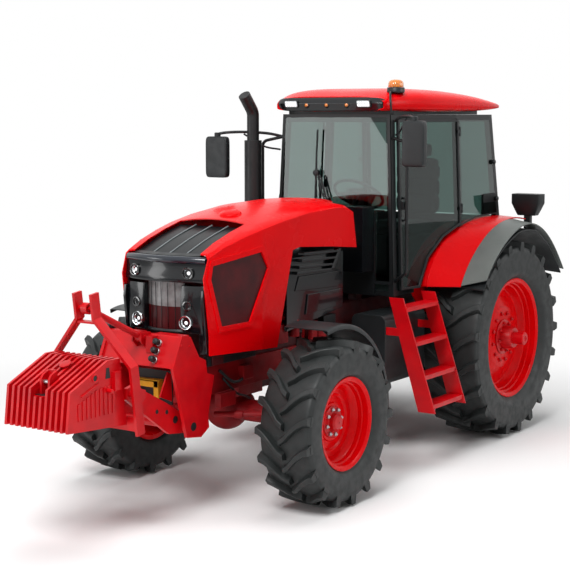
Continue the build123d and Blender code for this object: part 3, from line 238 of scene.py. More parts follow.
# Shapes
def grid(points, round_u=False, round_v=False):
    """Quads over an array of points (u, v, 3); a round direction joins its end to its start."""
    rows, columns = points.shape[:2]
    u = np.arange(rows if round_u else rows - 1)
    v = np.arange(columns if round_v else columns - 1)
    a, b = np.meshgrid(u, v, indexing="ij")
    a2, b2 = (a + 1) % rows, (b + 1) % columns
    faces = np.stack([a * columns + b, a2 * columns + b, a2 * columns + b2, a * columns + b2], axis=-1)
    return points.reshape(-1, 3), faces.reshape(-1, 4)


def closed(points):
    """A loft (stations, around, 3) with flat ends: quads between stations and one polygon at each end."""
    stations, around = points.shape[:2]
    verts, quads = grid(points, round_v=True)
    ends = np.stack([np.arange(around)[::-1], np.arange(around) + (stations - 1) * around])
    return verts, [quads, ends]


def mesh_of(name, surfaces):
    """One mesh from surfaces, each its points with one array of faces or a list of such arrays."""
    verts, loops, totals, start = [], [], [], 0
    for points, faces in surfaces:
        for ring in faces if isinstance(faces, list) else [faces]:
            loops.append(ring.ravel() + start)
            totals.append(np.full(len(ring), ring.shape[1]))
        verts.append(points)
        start += len(points)
    verts, loops, totals = np.concatenate(verts), np.concatenate(loops), np.concatenate(totals)
    mesh = bpy.data.meshes.new(name)
    mesh.vertices.add(len(verts))
    mesh.vertices.foreach_set("co", verts.astype(np.float32).ravel())
    mesh.loops.add(len(loops))
    mesh.loops.foreach_set("vertex_index", loops.astype(np.int32))
    mesh.polygons.add(len(totals))
    mesh.polygons.foreach_set("loop_start", (np.cumsum(totals) - totals).astype(np.int32))
    mesh.update(calc_edges=True)
    mesh.validate()
    return mesh


def piece(name, body, surfaces, finish, stands_for=(), sharp=35, edge_mm=0.0, outward=False):
    """A named mesh on a body, smooth up to the sharp angle; outward merges doubles and turns faces out."""
    mesh = mesh_of(name, surfaces)
    if outward:
        skin = bmesh.new()
        skin.from_mesh(mesh)
        bmesh.ops.remove_doubles(skin, verts=skin.verts, dist=1e-6)
        bmesh.ops.recalc_face_normals(skin, faces=skin.faces)
        skin.to_mesh(mesh)
        skin.free()
    return finished(name, body, mesh, finish, stands_for, sharp, edge_mm)


def finished(name, body, mesh, finish, stands_for, sharp, edge_mm):
    """Smooths, finishes and places a mesh, parents it to the body it rides on and hides the parts it stands
    for.
    """
    mesh.shade_smooth()
    mesh.set_sharp_from_angle(angle=math.radians(sharp))
    mesh.materials.clear()
    mesh.materials.append(finish)
    obj = bpy.data.objects.new(name, mesh)
    bpy.context.scene.collection.objects.link(obj)
    if edge_mm:
        edge = obj.modifiers.new("edge", "BEVEL")
        edge.width, edge.segments = edge_mm * MM, 2
        edge.limit_method, edge.angle_limit = "ANGLE", math.radians(38)
        edge.use_clamp_overlap, edge.harden_normals = True, True
    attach(obj, body)
    if stands_for:
        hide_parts(*stands_for)
    return obj


def turn(profile, centre, count=128):
    """A surface of revolution about X: each (x, r) of the profile goes round at radius r."""
    profile = np.asarray(profile, float)
    a = np.linspace(0, 2 * np.pi, count, endpoint=False)
    x = np.broadcast_to(profile[:, 0], (count, len(profile)))
    y = -np.cos(a)[:, None] * profile[:, 1]
    z = np.sin(a)[:, None] * profile[:, 1]
    points = np.stack([x, y, z], axis=-1) + np.asarray(centre)
    return grid(points, round_u=True, round_v=True)


def smooth_line(points, count):
    """Catmull-Rom curve through points: on each span a cubic in f of the four points round it."""
    p = np.asarray(points, float)
    p = np.concatenate([2 * p[:1] - p[1:2], p, 2 * p[-1:] - p[-2:-1]])
    t = np.linspace(0, len(p) - 3 - 1e-9, count)
    k = t.astype(int)
    f = (t - k)[:, None]
    a, b, c, d = p[k], p[k + 1], p[k + 2], p[k + 3]
    return 0.5 * (2 * b + (c - a) * f + (2 * a - 5 * b + 4 * c - d) * f ** 2
                  + (3 * b - a - 3 * c + d) * f ** 3)


def m(points):
    """Millimetres from the rear axle, as in the drawing, to metres in the frame."""
    return np.asarray(points, float) * MM + [0, CENTRE_Y, 0]


def slab(outline, low, high, axis=0):
    """A plate: an outline of the two other coordinates, in mm, carried straight from low to high."""
    p = np.asarray(outline, float)
    ends = []
    for value in (low, high):
        ends.append(np.insert(p, axis, value, axis=1))
    return closed(m(np.stack(ends)))


def block(x0, x1, y0, y1, z0, z1):
    """A square-cornered block in mm; its piece rounds its edges."""
    return slab([(y0, z0), (y1, z0), (y1, z1), (y0, z1)], x0, x1)


def pipe(points, radius, count=10, per=6):
    """A round section carried along a smooth line through points in mm, its plane square to the line."""
    line = smooth_line(points, per * (len(points) - 1) + 1)
    along = np.gradient(line, axis=0)
    along /= np.linalg.norm(along, axis=1)[:, None]
    ref = np.array([0.31, 0.23, 0.92]) if abs(along[:, 2]).max() < 0.9 else np.array([0.83, 0.55, 0.04])
    one = np.cross(along, ref)
    one /= np.linalg.norm(one, axis=1)[:, None]
    two = np.cross(along, one)
    a = np.linspace(0, 2 * np.pi, count, endpoint=False)
    radius = np.broadcast_to(radius, len(line))[:, None, None]
    spoke = np.cos(a)[None, :, None] * one[:, None] + np.sin(a)[None, :, None] * two[:, None]
    return closed(m(line[:, None] + radius * spoke))


def lathe(profile, base, axis, count=32):
    """A profile of (distance along the axis, radius) in mm turned about any axis from a base point.

    Each point is the base, plus its distance times the axis, plus its radius times the spoke at its angle.
    """
    profile = np.asarray(profile, float)
    axis = np.asarray(axis, float) / np.linalg.norm(axis)
    one = np.cross(axis, [0.3, 0.2, 0.93] if abs(axis[2]) < 0.9 else [1, 0, 0])
    one /= np.linalg.norm(one)
    two = np.cross(axis, one)
    a = np.linspace(0, 2 * np.pi, count, endpoint=False)
    spoke = np.cos(a)[:, None] * one + np.sin(a)[:, None] * two
    ring = np.asarray(base, float) + profile[:, 0, None, None] * axis + profile[:, 1, None, None] * spoke
    return closed(m(ring))


def pillow(centre, half, power=0.35, count=(28, 40)):
    """A rounded box: x = a cos^p u cos^p v, y = b cos^p u sin^p v, z = c sin^p u, with signs kept."""
    u = np.linspace(-np.pi / 2, np.pi / 2, count[0])[:, None]
    v = np.linspace(0, 2 * np.pi, count[1], endpoint=False)[None]
    soft = lambda w: np.sign(w) * np.abs(w) ** power
    x = half[0] * soft(np.cos(u)) * soft(np.cos(v))
    y = half[1] * soft(np.cos(u)) * soft(np.sin(v))
    z = half[2] * soft(np.sin(u)) * np.ones_like(v)
    points = np.stack([x, y, z], axis=-1) + np.asarray(centre, float)
    return closed(m(points[1:-1]))


def inset(outline, distance):
    """The outline moved inwards by a distance: neighbouring edges are shifted and crossed again."""
    p = np.asarray(outline, float)
    area = np.sum(p[:, 0] * np.roll(p[:, 1], -1) - np.roll(p[:, 0], -1) * p[:, 1])
    edge = np.roll(p, -1, axis=0) - p
    normal = np.stack([-edge[:, 1], edge[:, 0]], axis=1) / np.linalg.norm(edge, axis=1)[:, None]
    normal *= np.sign(area)
    c = np.sum(normal * p, axis=1) + distance
    n0, c0 = np.roll(normal, 1, axis=0), np.roll(c, 1)
    det = n0[:, 0] * normal[:, 1] - n0[:, 1] * normal[:, 0]
    return np.stack([(c0 * normal[:, 1] - n0[:, 1] * c) / det,
                     (n0[:, 0] * c - c0 * normal[:, 0]) / det], axis=1)


def frame_ring(outline, width, place, depth):
    """A frame: the outline and its inset at two depths, joined round; place maps them to space."""
    outer, inner = np.asarray(outline, float), inset(outline, width)
    rings = [place(outer, 0), place(outer, depth), place(inner, depth), place(inner, 0)]
    return grid(m(np.stack(rings)), round_u=True, round_v=True)


# Pressed, cast and welded pieces
def dressed(node, edge_mm=2.0, sharp=32, reshape=None, cuts=()):
    """A node's own shape as one welded skin with rounded edges, so that it catches light as metal does.

    cuts are the Y in mm of planes that give the skin more points, and reshape moves all its points at once.
    """
    source = frame["nodes"][node]
    skin = bmesh.new()
    skin.from_mesh(source.data)
    bmesh.ops.remove_doubles(skin, verts=skin.verts, dist=2e-5)
    bmesh.ops.dissolve_limit(skin, angle_limit=math.radians(0.6), verts=skin.verts, edges=skin.edges)
    mesh = bpy.data.meshes.new(node + "_skin")
    for y in cuts:
        bmesh.ops.bisect_plane(skin, geom=skin.verts[:] + skin.edges[:] + skin.faces[:], dist=1e-6,
                               plane_co=m([(0, y, 0)])[0], plane_no=(0, 1, 0))
    skin.to_mesh(mesh)
    skin.free()
    if reshape:
        flat = np.empty(len(mesh.vertices) * 3, np.float32)
        mesh.vertices.foreach_get("co", flat)
        mesh.vertices.foreach_set("co", reshape(flat.reshape(-1, 3).astype(float)).astype(np.float32).ravel())
        mesh.update()
    return finished(node + "_skin", BODY[node], mesh, FINISH[node], [node], sharp, edge_mm)


# rounding of each node's edges, mm
EDGES = {"engine": 6, "chassis_frame": 3, "front_axle": 5, "transmission": 6, "fuel_tanks": 5, "ladders": 2,
         "cab_frame": 3, "cab_console": 8, "steering_wheel": 0, "handrails": 0, "exhaust": 2,
         "cowl_panels": 3, "rear_fenders": 3, "fender_extensions": 3, "hitch_frame": 4,
         "rear_linkage_case": 5, "front_lift_arms": 4, "front_top_link": 2, "ballast_mast": 4,
         "rear_lower_links": 2, "rear_lift_arms": 3, "rear_lift_rods": 2, "knuckle_left": 4,
         "knuckle_right": 4}
for node, edge_mm in EDGES.items():
    dressed(node, edge_mm)


HOOD_TAPER = (-2000, -1515)         # Y in mm where the hood's sides start to be drawn in, and their end
HOOD_ROLL = (-1780, 265)            # Y in mm where its top starts to roll down, and over what length
HOOD_CUTS = (-2000, -1900, -1820, -1760, -1710, -1665, -1625, -1590, -1560, -1535)
# metres
HOOD_FADE = (0.12, 0.12)            # half width of the unchanged middle, and the blend beside it
HOOD_SHOULDER = (1.706, 0.279)      # height where the side ends, and how far the shoulder rises above it
HOOD_TOP = (1.985, 0.103)           # the same for the top
HOOD_FORWARD = (0.121, 0.046, 0.02) # move of the side's foot, and what shoulder and top add to it
HOOD_FALL = 0.085                   # fall of the top


def hood_line(p):
    """The hood's rear end, drawn in at its sides and rolled down at its top.

    Each point moves forward by its share of the taper's length times 121 mm at the side's foot, 167 mm at its
    shoulder and 187 mm at its top. The top falls by 85 mm times the roll's share to the power 2.4. Both fade
    between 240 mm and 120 mm from the middle: the move to nothing, the fall to three tenths.
    """
    start, end, roll = m([(0, HOOD_TAPER[0], 0), (0, HOOD_TAPER[1], 0), (0, HOOD_ROLL[0], 0)])[:, 1]
    side = np.clip((np.abs(p[:, 0]) - HOOD_FADE[0]) / HOOD_FADE[1], 0, 1)
    side = side * side * (3 - 2 * side)
    back = np.clip((p[:, 1] - start) / (end - start), 0, 1)
    shoulder = np.clip((p[:, 2] - HOOD_SHOULDER[0]) / HOOD_SHOULDER[1], 0, 1)
    top_part = np.clip((p[:, 2] - HOOD_TOP[0]) / HOOD_TOP[1], 0, 1)
    fall = np.clip((p[:, 1] - roll) / (HOOD_ROLL[1] * MM), 0, 1) ** 2.4
    out = p.copy()
    foot, at_shoulder, at_top = HOOD_FORWARD
    out[:, 1] -= side * back * (foot + at_shoulder * shoulder + at_top * top_part)
    out[:, 2] -= (0.3 + 0.7 * side) * fall * HOOD_FALL * top_part
    return out


hood = dressed("hood_shell", 3, reshape=hood_line, cuts=HOOD_CUTS)


# Tyres
def tyre_surfaces(side, x_mid, centre_y, radius, width, rim_r, rim_half, lugs, trail, lug_w, lug_h):
    """Carcass by turning a profile; each bar's middle runs from the tread's centre to the shoulder while
    it trails by 1 - (1 - s)^1.6 of its full sweep, with a narrow top, sloped flanks and a blunt end."""
    h = width / 2
    base = radius - lug_h
    crown = 0.014
    outer = smooth_line([(rim_half - 0.014, rim_r - 0.024), (rim_half - 0.006, rim_r + 0.006),
                         (rim_half + 0.012, rim_r + 0.022), (h - 0.006, rim_r + 0.060),
                         (h - 0.002, (rim_r + base) / 2), (h - 0.003, base - crown - 0.045),
                         (h - 0.010, base - crown - 0.020), (h - 0.030, base - crown * 0.8),
                         (h * 0.5, base - crown * 0.25), (0, base)], 46)
    inner = np.array([(0, base - 0.034), (h - 0.05, base - 0.06), (h - 0.045, rim_r + 0.06),
                      (rim_half - 0.05, rim_r - 0.022)])
    half = np.concatenate([outer[:-1], outer[-1:], inner])
    left = half * [-1, 1]
    profile = np.concatenate([outer, left[:45][::-1], left[46:][::-1][:3], inner])
    centre = np.array([side * x_mid, centre_y, radius])
    surfaces = [turn(profile, centre, 150)]

    s = np.array([0, 0.04, 0.14, 0.3, 0.46, 0.62, 0.78, 0.9, 1.0, 1.0, 1.0])
    x = np.array([-0.014, -0.012] + [0.0] * 9)
    x[2:] = s[2:] * (h - 0.001)
    x[-2:] = h - 0.0005
    x[-1] = h - 0.004
    top = radius - crown * s ** 2
    top[0] = base + 0.3 * lug_h
    top[1] = radius - 0.002
    top[-2] = radius - crown - 0.010
    top[-1] = base - crown - 0.030
    foot = np.minimum(base - crown * s ** 2 - 0.010, top - 0.02)
    angle = trail / radius * (1 - (1 - s) ** 1.6)
    half_top = (lug_w / 2 + 0.006 * s) / radius
    half_foot = half_top + 0.016 / radius
    share = np.array([0.0, 0.93, 1.0, 1.0, 0.93, 0.0])
    wide = np.stack([-half_foot, -half_top - 0.002 / radius, -half_top + 0.004 / radius,
                     half_top - 0.004 / radius, half_top + 0.002 / radius, half_foot], axis=-1)
    pitch = 2 * np.pi / lugs
    k = np.arange(lugs)
    for half_side in (1, -1):
        start = -np.pi / 2 + k * pitch + (0 if half_side > 0 else pitch / 2)
        a = start[:, None, None] + angle[None, :, None] + wide[None]
        r = foot[:, None] + (top - foot)[:, None] * share[None, :]
        r = np.broadcast_to(r, a.shape)
        xx = np.broadcast_to((side * half_side * x)[None, :, None], a.shape)
        points = np.stack([xx, -np.cos(a) * r, np.sin(a) * r], axis=-1) + centre
        n, steps, w = a.shape
        first = np.arange(n)[:, None, None] * steps * w
        i, j = np.meshgrid(np.arange(steps - 1), np.arange(w), indexing="ij")
        j2 = (j + 1) % w
        quad = np.stack([i * w + j, (i + 1) * w + j, (i + 1) * w + j2, i * w + j2], axis=-1).reshape(1, -1, 4)
        caps = np.array([[0, 1, 4, 5], [1, 2, 3, 4]])
        far = caps + (steps - 1) * w
        quad = np.concatenate([quad, caps[:, ::-1][None], far[None]], axis=1)
        if side * half_side > 0:
            quad = quad[:, :, ::-1]
        surfaces.append((points.reshape(-1, 3), (quad + first).reshape(-1, 4)))
    return surfaces


def turned_piece(name, body, profile, side, x_mid, centre_y, wheel_r, finish, replaces=(), count=128,
                 sharp=30):
    """A closed outline of (distance out from the wheel's middle plane, radius), turned about the axle."""
    profile = np.asarray(profile, float)
    if side < 0:
        profile = profile[::-1]
    surface = turn(profile * [side, 1], (side * x_mid, centre_y, wheel_r), count)
    return piece(name, body, [surface], finish, replaces, sharp)


def fasteners(side, x_face, wheel, circle, count, radius, height):
    """Domed hexagon nuts on a circle round a wheel's axle.

    Each level's share of the radius falls as a step and then a dome over the height, and below the dome the
    radius is divided by the cosine of the angle from the nearest flat's middle.
    """
    level = np.array([(0, 1.0), (0.55, 1.0), (0.62, 0.9), (0.85, 0.6), (1.0, 0.3), (1.0, 0.02)])
    a = np.linspace(0, 2 * np.pi, 12, endpoint=False)
    hexagon = 1 / np.cos((a + np.pi / 6) % (np.pi / 3) - np.pi / 6)
    surfaces = []
    for k in range(count):
        b = 2 * np.pi * k / count + 0.2
        x = np.broadcast_to(side * (x_face + level[:, 0] * height), (12, 6))
        r = radius * level[:, 1] * np.where(level[:, 0] < 0.6, hexagon[:, None], 1.0)
        y = wheel["centre_y"] + circle * math.cos(b) + np.cos(a)[:, None] * r
        z = wheel["radius"] + circle * math.sin(b) + np.sin(a)[:, None] * r
        points, quads = grid(np.stack([x, y, z], axis=-1), round_u=True)
        surfaces.append((points, quads if side > 0 else quads[:, ::-1]))
    return surfaces


def front_rim(side, name):
    """Deep drop-centre rim with two steps, a dished disc, hub flange, nuts and cap."""
    wheel = WHEELS["front"]
    r, h = wheel["rim_r"], wheel["rim_half"]
    disc = 0.043            # outer face of the disc from the wheel's middle plane
    outline = [(h, r), (h - 0.003, r + 0.003), (h - 0.010, r + 0.002), (h - 0.014, r - 0.022),
               (h - 0.09, r - 0.022), (0.05, r - 0.07), (-0.05, r - 0.07), (-h + 0.09, r - 0.022),
               (-h + 0.014, r - 0.022), (-h + 0.010, r + 0.002), (-h + 0.003, r + 0.003), (-h, r),
               (-h + 0.004, r - 0.030), (-h + 0.09, r - 0.034), (-0.05, r - 0.080), (disc - 0.016, r - 0.080),
               (disc - 0.016, 0.20), (disc - 0.060, 0.17), (disc - 0.060, 0.05), (disc + 0.004, 0.05),
               (disc + 0.004, 0.135), (disc - 0.004, 0.142), (disc - 0.010, 0.19), (disc + 0.002, 0.205),
               (disc + 0.004, r - 0.085), (0.058, r - 0.079), (0.085, r - 0.060), (0.090, r - 0.050),
               (0.118, r - 0.046), (0.124, r - 0.034), (h - 0.012, r - 0.031), (h - 0.005, r - 0.022),
               (h - 0.001, r - 0.010)]
    where = dict(side=side, x_mid=wheel["x_mid"], centre_y=wheel["centre_y"], wheel_r=wheel["radius"])
    body = f"front_wheel_{name}"
    turned_piece(f"front_rim_{name}_dish", body, outline[::-1], finish=enamel, replaces=[f"front_rim_{name}"],
                 **where)
    hub = [(disc - 0.02, 0.005), (disc - 0.02, 0.11), (disc + 0.012, 0.114), (disc + 0.016, 0.108),
           (disc + 0.016, 0.072), (disc + 0.022, 0.066), (disc + 0.05, 0.062), (disc + 0.062, 0.05),
           (disc + 0.066, 0.02), (disc + 0.067, 0.005)]
    turned_piece(f"front_hub_{name}", body, hub[::-1], finish=casting_red, count=64, **where)
    piece(f"front_hub_nuts_{name}", body,
          fasteners(side, wheel["x_mid"] + disc + 0.015, wheel, 0.093, 8, 0.013, 0.026), bare_steel, sharp=40)


def rear_rim(side, name):
    """Wide rim on a coned disc, with the bolt ring, the clamp hub and the axle shaft's end."""
    wheel = WHEELS["rear"]
    r, h = wheel["rim_r"], wheel["rim_half"]
    out = 0.115             # outer face of the disc from the wheel's middle plane
    outline = [(h, r), (h - 0.003, r + 0.004), (h - 0.010, r + 0.002), (h - 0.014, r - 0.022),
               (h - 0.09, r - 0.022), (0.05, r - 0.075), (-0.05, r - 0.075), (-h + 0.09, r - 0.022),
               (-h + 0.014, r - 0.022), (-h + 0.010, r + 0.002), (-h + 0.003, r + 0.004), (-h, r),
               (-h + 0.004, r - 0.030), (-h + 0.09, r - 0.034), (-0.05, r - 0.086), (0.020, r - 0.086),
               (out - 0.022, 0.27), (out - 0.022, 0.06), (out, 0.06), (out, 0.255), (out - 0.006, 0.268),
               (0.052, r - 0.100), (0.056, r - 0.088), (0.075, r - 0.075), (0.110, r - 0.062),
               (0.116, r - 0.050), (0.150, r - 0.046), (0.156, r - 0.034), (h - 0.012, r - 0.031),
               (h - 0.005, r - 0.022), (h - 0.001, r - 0.010)]
    where = dict(side=side, x_mid=wheel["x_mid"], centre_y=wheel["centre_y"], wheel_r=wheel["radius"])
    body = f"rear_wheel_{name}"
    turned_piece(f"rear_rim_{name}_dish", body, outline[::-1], finish=enamel, replaces=[f"rear_rim_{name}"],
                 **where)
    hub = [(out - 0.09, 0.054), (out - 0.09, 0.115), (out + 0.002, 0.150), (out + 0.012, 0.150),
           (out + 0.016, 0.142), (out + 0.018, 0.105), (out + 0.095, 0.092), (out + 0.110, 0.084),
           (out + 0.110, 0.054)]
    turned_piece(f"rear_hub_{name}", body, hub[::-1], finish=casting_red, count=64, **where)
    shaft = [(-0.16, 0.003), (-0.16, 0.053), (0.318, 0.053), (0.325, 0.046), (0.325, 0.024), (0.318, 0.020),
             (0.318, 0.003)]
    turned_piece(f"rear_shaft_{name}", body, shaft[::-1], finish=casting_red, count=48, **where)
    nuts = fasteners(side, wheel["x_mid"] + out, wheel, 0.205, 12, 0.014, 0.026)
    nuts += fasteners(side, wheel["x_mid"] + out + 0.014, wheel, 0.125, 8, 0.012, 0.03)
    piece(f"rear_hub_nuts_{name}", body, nuts, casting_red, sharp=40)


for side, sign in (("left", 1), ("right", -1)):
    front_rim(sign, side)
    rear_rim(sign, side)
    for axle, w in WHEELS.items():
        piece(f"{axle}_tyre_{side}_treaded", f"{axle}_wheel_{side}", tyre_surfaces(sign, **w), tyre_rubber,
              [f"{axle}_tyre_{side}"], sharp=28)


# Roof
def roof_surface():
    """At each station x = w cos^0.4, and z rises as sin^0.75 over the crown and drops as sin^0.3 under it."""
    stations = np.array([(-1352, 500, 2784, 2868), (-1362, 509, 2776, 2880), (-1345, 513, 2770, 2890),
                         (-1200, 560, 2766, 2930), (-1000, 608, 2762, 2951), (-800, 638, 2760, 2954),
                         (-400, 662, 2758, 2945), (0, 662, 2764, 2918), (250, 648, 2774, 2888),
                         (430, 622, 2786, 2862), (510, 596, 2794, 2846), (532, 570, 2802, 2832)], float)
    y, w, low, top = smooth_line(stations, 67).T[:, :, None]
    a = np.linspace(0, 2 * np.pi, 72, endpoint=False)[None]
    c, n = np.cos(a), np.sin(a)
    mid = low + 0.36 * (top - low)
    x = w * np.sign(c) * np.abs(c) ** 0.4
    z = mid + np.where(n > 0, (top - mid) * np.abs(n) ** 0.75, -(mid - low) * np.abs(n) ** 0.3)
    return closed(m(np.stack(np.broadcast_arrays(x, y, z), axis=-1)))


piece("roof_cap", "tractor", [roof_surface()], enamel, ["cab_roof"], sharp=40, outward=True)
piece("roof_base", "tractor", [block(-500, 500, -1200, 270, 2741, 2800)], powder_black)


def rounded_outline(half_w, half_h, radius, count=6):
    """A rectangle with round corners: four quarter circles in turn."""
    a = np.linspace(0, np.pi / 2, count)
    corner = np.stack([np.cos(a), np.sin(a)], axis=1) * radius
    parts = []
    for k, (sx, sz) in enumerate(((1, 1), (-1, 1), (-1, -1), (1, -1))):
        c, n = math.cos(k * math.pi / 2), math.sin(k * math.pi / 2)
        turned = corner @ np.array([[c, n], [-n, c]])
        parts.append(turned + [sx * (half_w - radius), sz * (half_h - radius)])
    return np.concatenate(parts)


def face_plate(x, z, half_w, half_h, radius, y0, y1, lean=0.0):
    """A round-cornered plate facing forward, from y0 to y1; lean moves its top backwards."""
    outline = rounded_outline(half_w, half_h, radius) + [x, z]
    back = lean * (outline[:, 1] - z)
    return closed(m(np.stack([np.stack([outline[:, 0], y + back, outline[:, 1]], axis=1) for y in (y0, y1)])))


# lamp band under the roof's front edge, with its corners carried round the sides
u = np.linspace(-1, 1, 41)[:, None]
ring = np.array([(-1345, 2872), (-1372, 2876), (-1386, 2862), (-1398, 2830), (-1376, 2772), (-1350, 2768)])
back = 30 * np.abs(u) ** 8
height = (ring[:, 1] - LAMP_BAND_Z) * (1 - 0.25 * np.abs(u) ** 14)
band = np.stack([494 * u + 0 * ring[:, 0], ring[:, 0] + back, LAMP_BAND_Z + height], axis=-1)
piece("roof_lamp_band", "tractor", [closed(m(band))], piano_black, ["roof_lamp_panel"], sharp=30,
      outward=True, edge_mm=3)
bezels, cells, bowls = [], [], []
for x in (-342, 342):
    bezels.append(face_plate(x, 2826, 66, 31, 14, -1404, -1380, lean=-0.3))
    bowls.append(face_plate(x, 2826, 58, 24, 10, -1407, -1396, lean=-0.3))
    for dx in (-42, -21, 0, 21, 42):
        for dz in (-11, 11):
            cells.append(lathe([(0, 9), (3, 9), (6, 6), (7, 1)],
                               (x + dx, -1406, 2826 + dz), (0, -1, 0.0), 10))
ambers, rings = [], []
for x in (-200, -10, 180):
    rings.append(lathe([(-18, 26), (2, 27), (6, 25), (6, 20), (-4, 18), (-18, 18)],
                       (x, -1392, 2820), (0, -1, 0.3), 32))
    ambers.append(lathe([(-10, 17), (0, 17), (6, 12), (8, 5), (8.5, 0.6)],
                        (x, -1392, 2820), (0, -1, 0.3), 24))
piece("roof_lamp_bezels", "tractor", bezels + rings, black_abs, edge_mm=2,
      outward=True)
piece("roof_led_reflectors", "tractor", bowls, reflector, ["roof_lamps"], outward=True)
piece("roof_led_cells", "tractor", cells, led_white, outward=True)
piece("roof_amber_lamps", "tractor", ambers, amber_lens, outward=True)

# beacon: black base with a rim, ribbed amber dome, and its pole from the cab's corner
piece("beacon_base", "tractor",
      [lathe([(0, 30), (2, 66), (10, 72), (38, 70), (44, 66), (46, 20)], (*BEACON, 2912), (0, 0, 1), 40),
       pipe([(548, -1318, 2752), (546, -1330, 2840), (520, -1290, 2905), (470, -1190, 2925)], 9)],
      black_abs, outward=True)
a = np.linspace(0, 2 * np.pi, 72, endpoint=False)
rise = np.array([(0, 60), (10, 62), (30, 60), (44, 54), (54, 42), (59, 24), (61, 3)], float)
r = rise[:, 1, None] * (1 + 0.02 * np.cos(12 * a))
dome = np.stack([BEACON[0] + r * np.cos(a), BEACON[1] + r * np.sin(a), 2958 + rise[:, :1] + 0 * r], axis=-1)
piece("beacon_dome", "tractor", [closed(m(dome))], amber_lens, ["beacon"], outward=True)


# Mirrors
for name, x, z, w, h, inner in (("left", 916, 2522, 96, 174, 1), ("right", -938, 2392, 108, 170, -1)):
    shells = [pillow((x, -1608, z), (w, 30, h), 0.22)]
    pad = face_plate(x, z, w - 16, h - 16, 22, -1583, -1577)
    arms = [pipe([(inner * 540, -1245, z + 170), (inner * 640, -1340, z + 196), (inner * 800, -1500, z + 206),
                  (x - inner * 10, -1608, z + 190), (x, -1608, z + 140)], 12),
            pipe([(inner * 552, -1250, z + 60), (inner * 650, -1360, z + 90), (inner * 770, -1470, z + 190)],
                 8)]
    arms.append(lathe([(-26, 20), (-22, 26), (22, 26), (26, 20)], (x, -1608, z + h + 6), (0, 0, 1), 20))
    piece(f"mirror_housings_{name}", "tractor", shells + arms, black_abs, ["mirrors"] if inner > 0 else (),
          outward=True)
    piece(f"mirror_glass_{name}", "tractor", [pad], reflector, outward=True)


# Cab glass and doors
CAB_FOOT = 1394             # Z in mm from which the cab's sides lean inwards
CAB_LEAN = 0.045            # mm inwards for each mm up
CAB_FLARE = 0.15            # mm outwards for each mm back, along the doors
SIDE_X = 565 + CAB_FLARE * 890      # X in mm of the side panes' plane at the foot


def door_x(y, z):
    """X of the leaning door plane at a side-view point, in mm."""
    return 565 + CAB_FLARE * (y + 1290) - CAB_LEAN * (z - CAB_FOOT)


def on_door(flip, lift):
    """A function that puts side-view points on the door's plane, lifted outwards; flip is the side's sign."""
    return lambda p, d: np.stack([flip * (door_x(p[:, 0], p[:, 1]) + lift + d), p[:, 0], p[:, 1]], axis=1)


DOOR = [(-1228, 1346), (-985, 1346), (-862, 1580), (-655, 1734), (-405, 1828), (-405, 2700), (-1208, 2700)]
for side, flip in (("left", 1), ("right", -1)):
    body = BODY[f"door_{side}_frame"]
    parts = [frame_ring(DOOR, 20, on_door(flip, 7), 22)]
    for z in (1960, 2600):          # hinges
        x = door_x(-400, z) + 20
        parts += [lathe([(-38, 8), (-38, 14), (-15, 14), (15, 14), (38, 14), (38, 8)], (flip * x, -384, z),
                        (0, 0, 1), 20),
                  block(flip * x - 10, flip * x + 10, -425, -384, z - 14, z + 14)]
    hx = flip * (door_x(-1180, 1980) + 32)
    parts += [pipe([(hx - flip * 24, -1172, 2078), (hx + flip * 16, -1176, 2074),
                    (hx + flip * 22, -1178, 2020), (hx + flip * 22, -1180, 1960),
                    (hx + flip * 14, -1180, 1908), (hx - flip * 24, -1180, 1902)], 9),
              block(hx - 12, hx + 12, -1206, -1140, 1990, 2052)]
    piece(f"door_{side}_frame_slim", body, parts, powder_black, [f"door_{side}_frame"], edge_mm=2,
          outward=True)
    pane = closed(m(np.stack([on_door(flip, 12)(inset(DOOR, 14), 0), on_door(flip, 12)(inset(DOOR, 14), 6)])))
    piece(f"door_{side}_pane", body, [pane], cab_glass, [f"door_{side}_glass"], outward=True)


SCREEN_LEAN = 35 / 1440     # mm back for each mm up
SCREEN_FOOT = 1300          # Z in mm from which it leans


def screen(p, y0):
    """Front-view points (x, z) on the windscreen's leaning plane, y0 at its foot."""
    p = np.asarray(p, float)
    return np.stack([p[:, 0], y0 + SCREEN_LEAN * (p[:, 1] - SCREEN_FOOT), p[:, 1]], axis=1)


top = door_x(-1235, 2744) - 4
OUTLINE = [(-563, 1394), (-410, 1394), (-410, 1970), (410, 1970), (410, 1394), (563, 1394), (top, 2744),
           (-top, 2744)]
panes = [closed(m(np.stack([screen(OUTLINE, -1300.5), screen(OUTLINE, -1306.5)])))]
SIDE = np.array([(-392, 1812), (-97, 1866), (150, 1874), (322, 1874), (222, 2706), (-392, 2706)])
for flip in (1, -1):
    both = [np.stack([flip * (SIDE_X - CAB_LEAN * (SIDE[:, 1] - CAB_FOOT) + d), SIDE[:, 0], SIDE[:, 1]],
                     axis=1) for d in (2, 8)]
    panes.append(closed(m(np.stack(both))))
rear = np.array([(-640, 1860), (640, 1860), (606, 2700), (-606, 2700)])
REAR_LEAN = 0.122           # mm forward for each mm up
both = [np.stack([rear[:, 0], y0 - REAR_LEAN * (rear[:, 1] - 1860), rear[:, 1]], axis=1) for y0 in (394, 400)]
panes.append(closed(m(np.stack(both))))
piece("cab_panes", "tractor", panes, cab_glass, ["cab_glass"], outward=True)
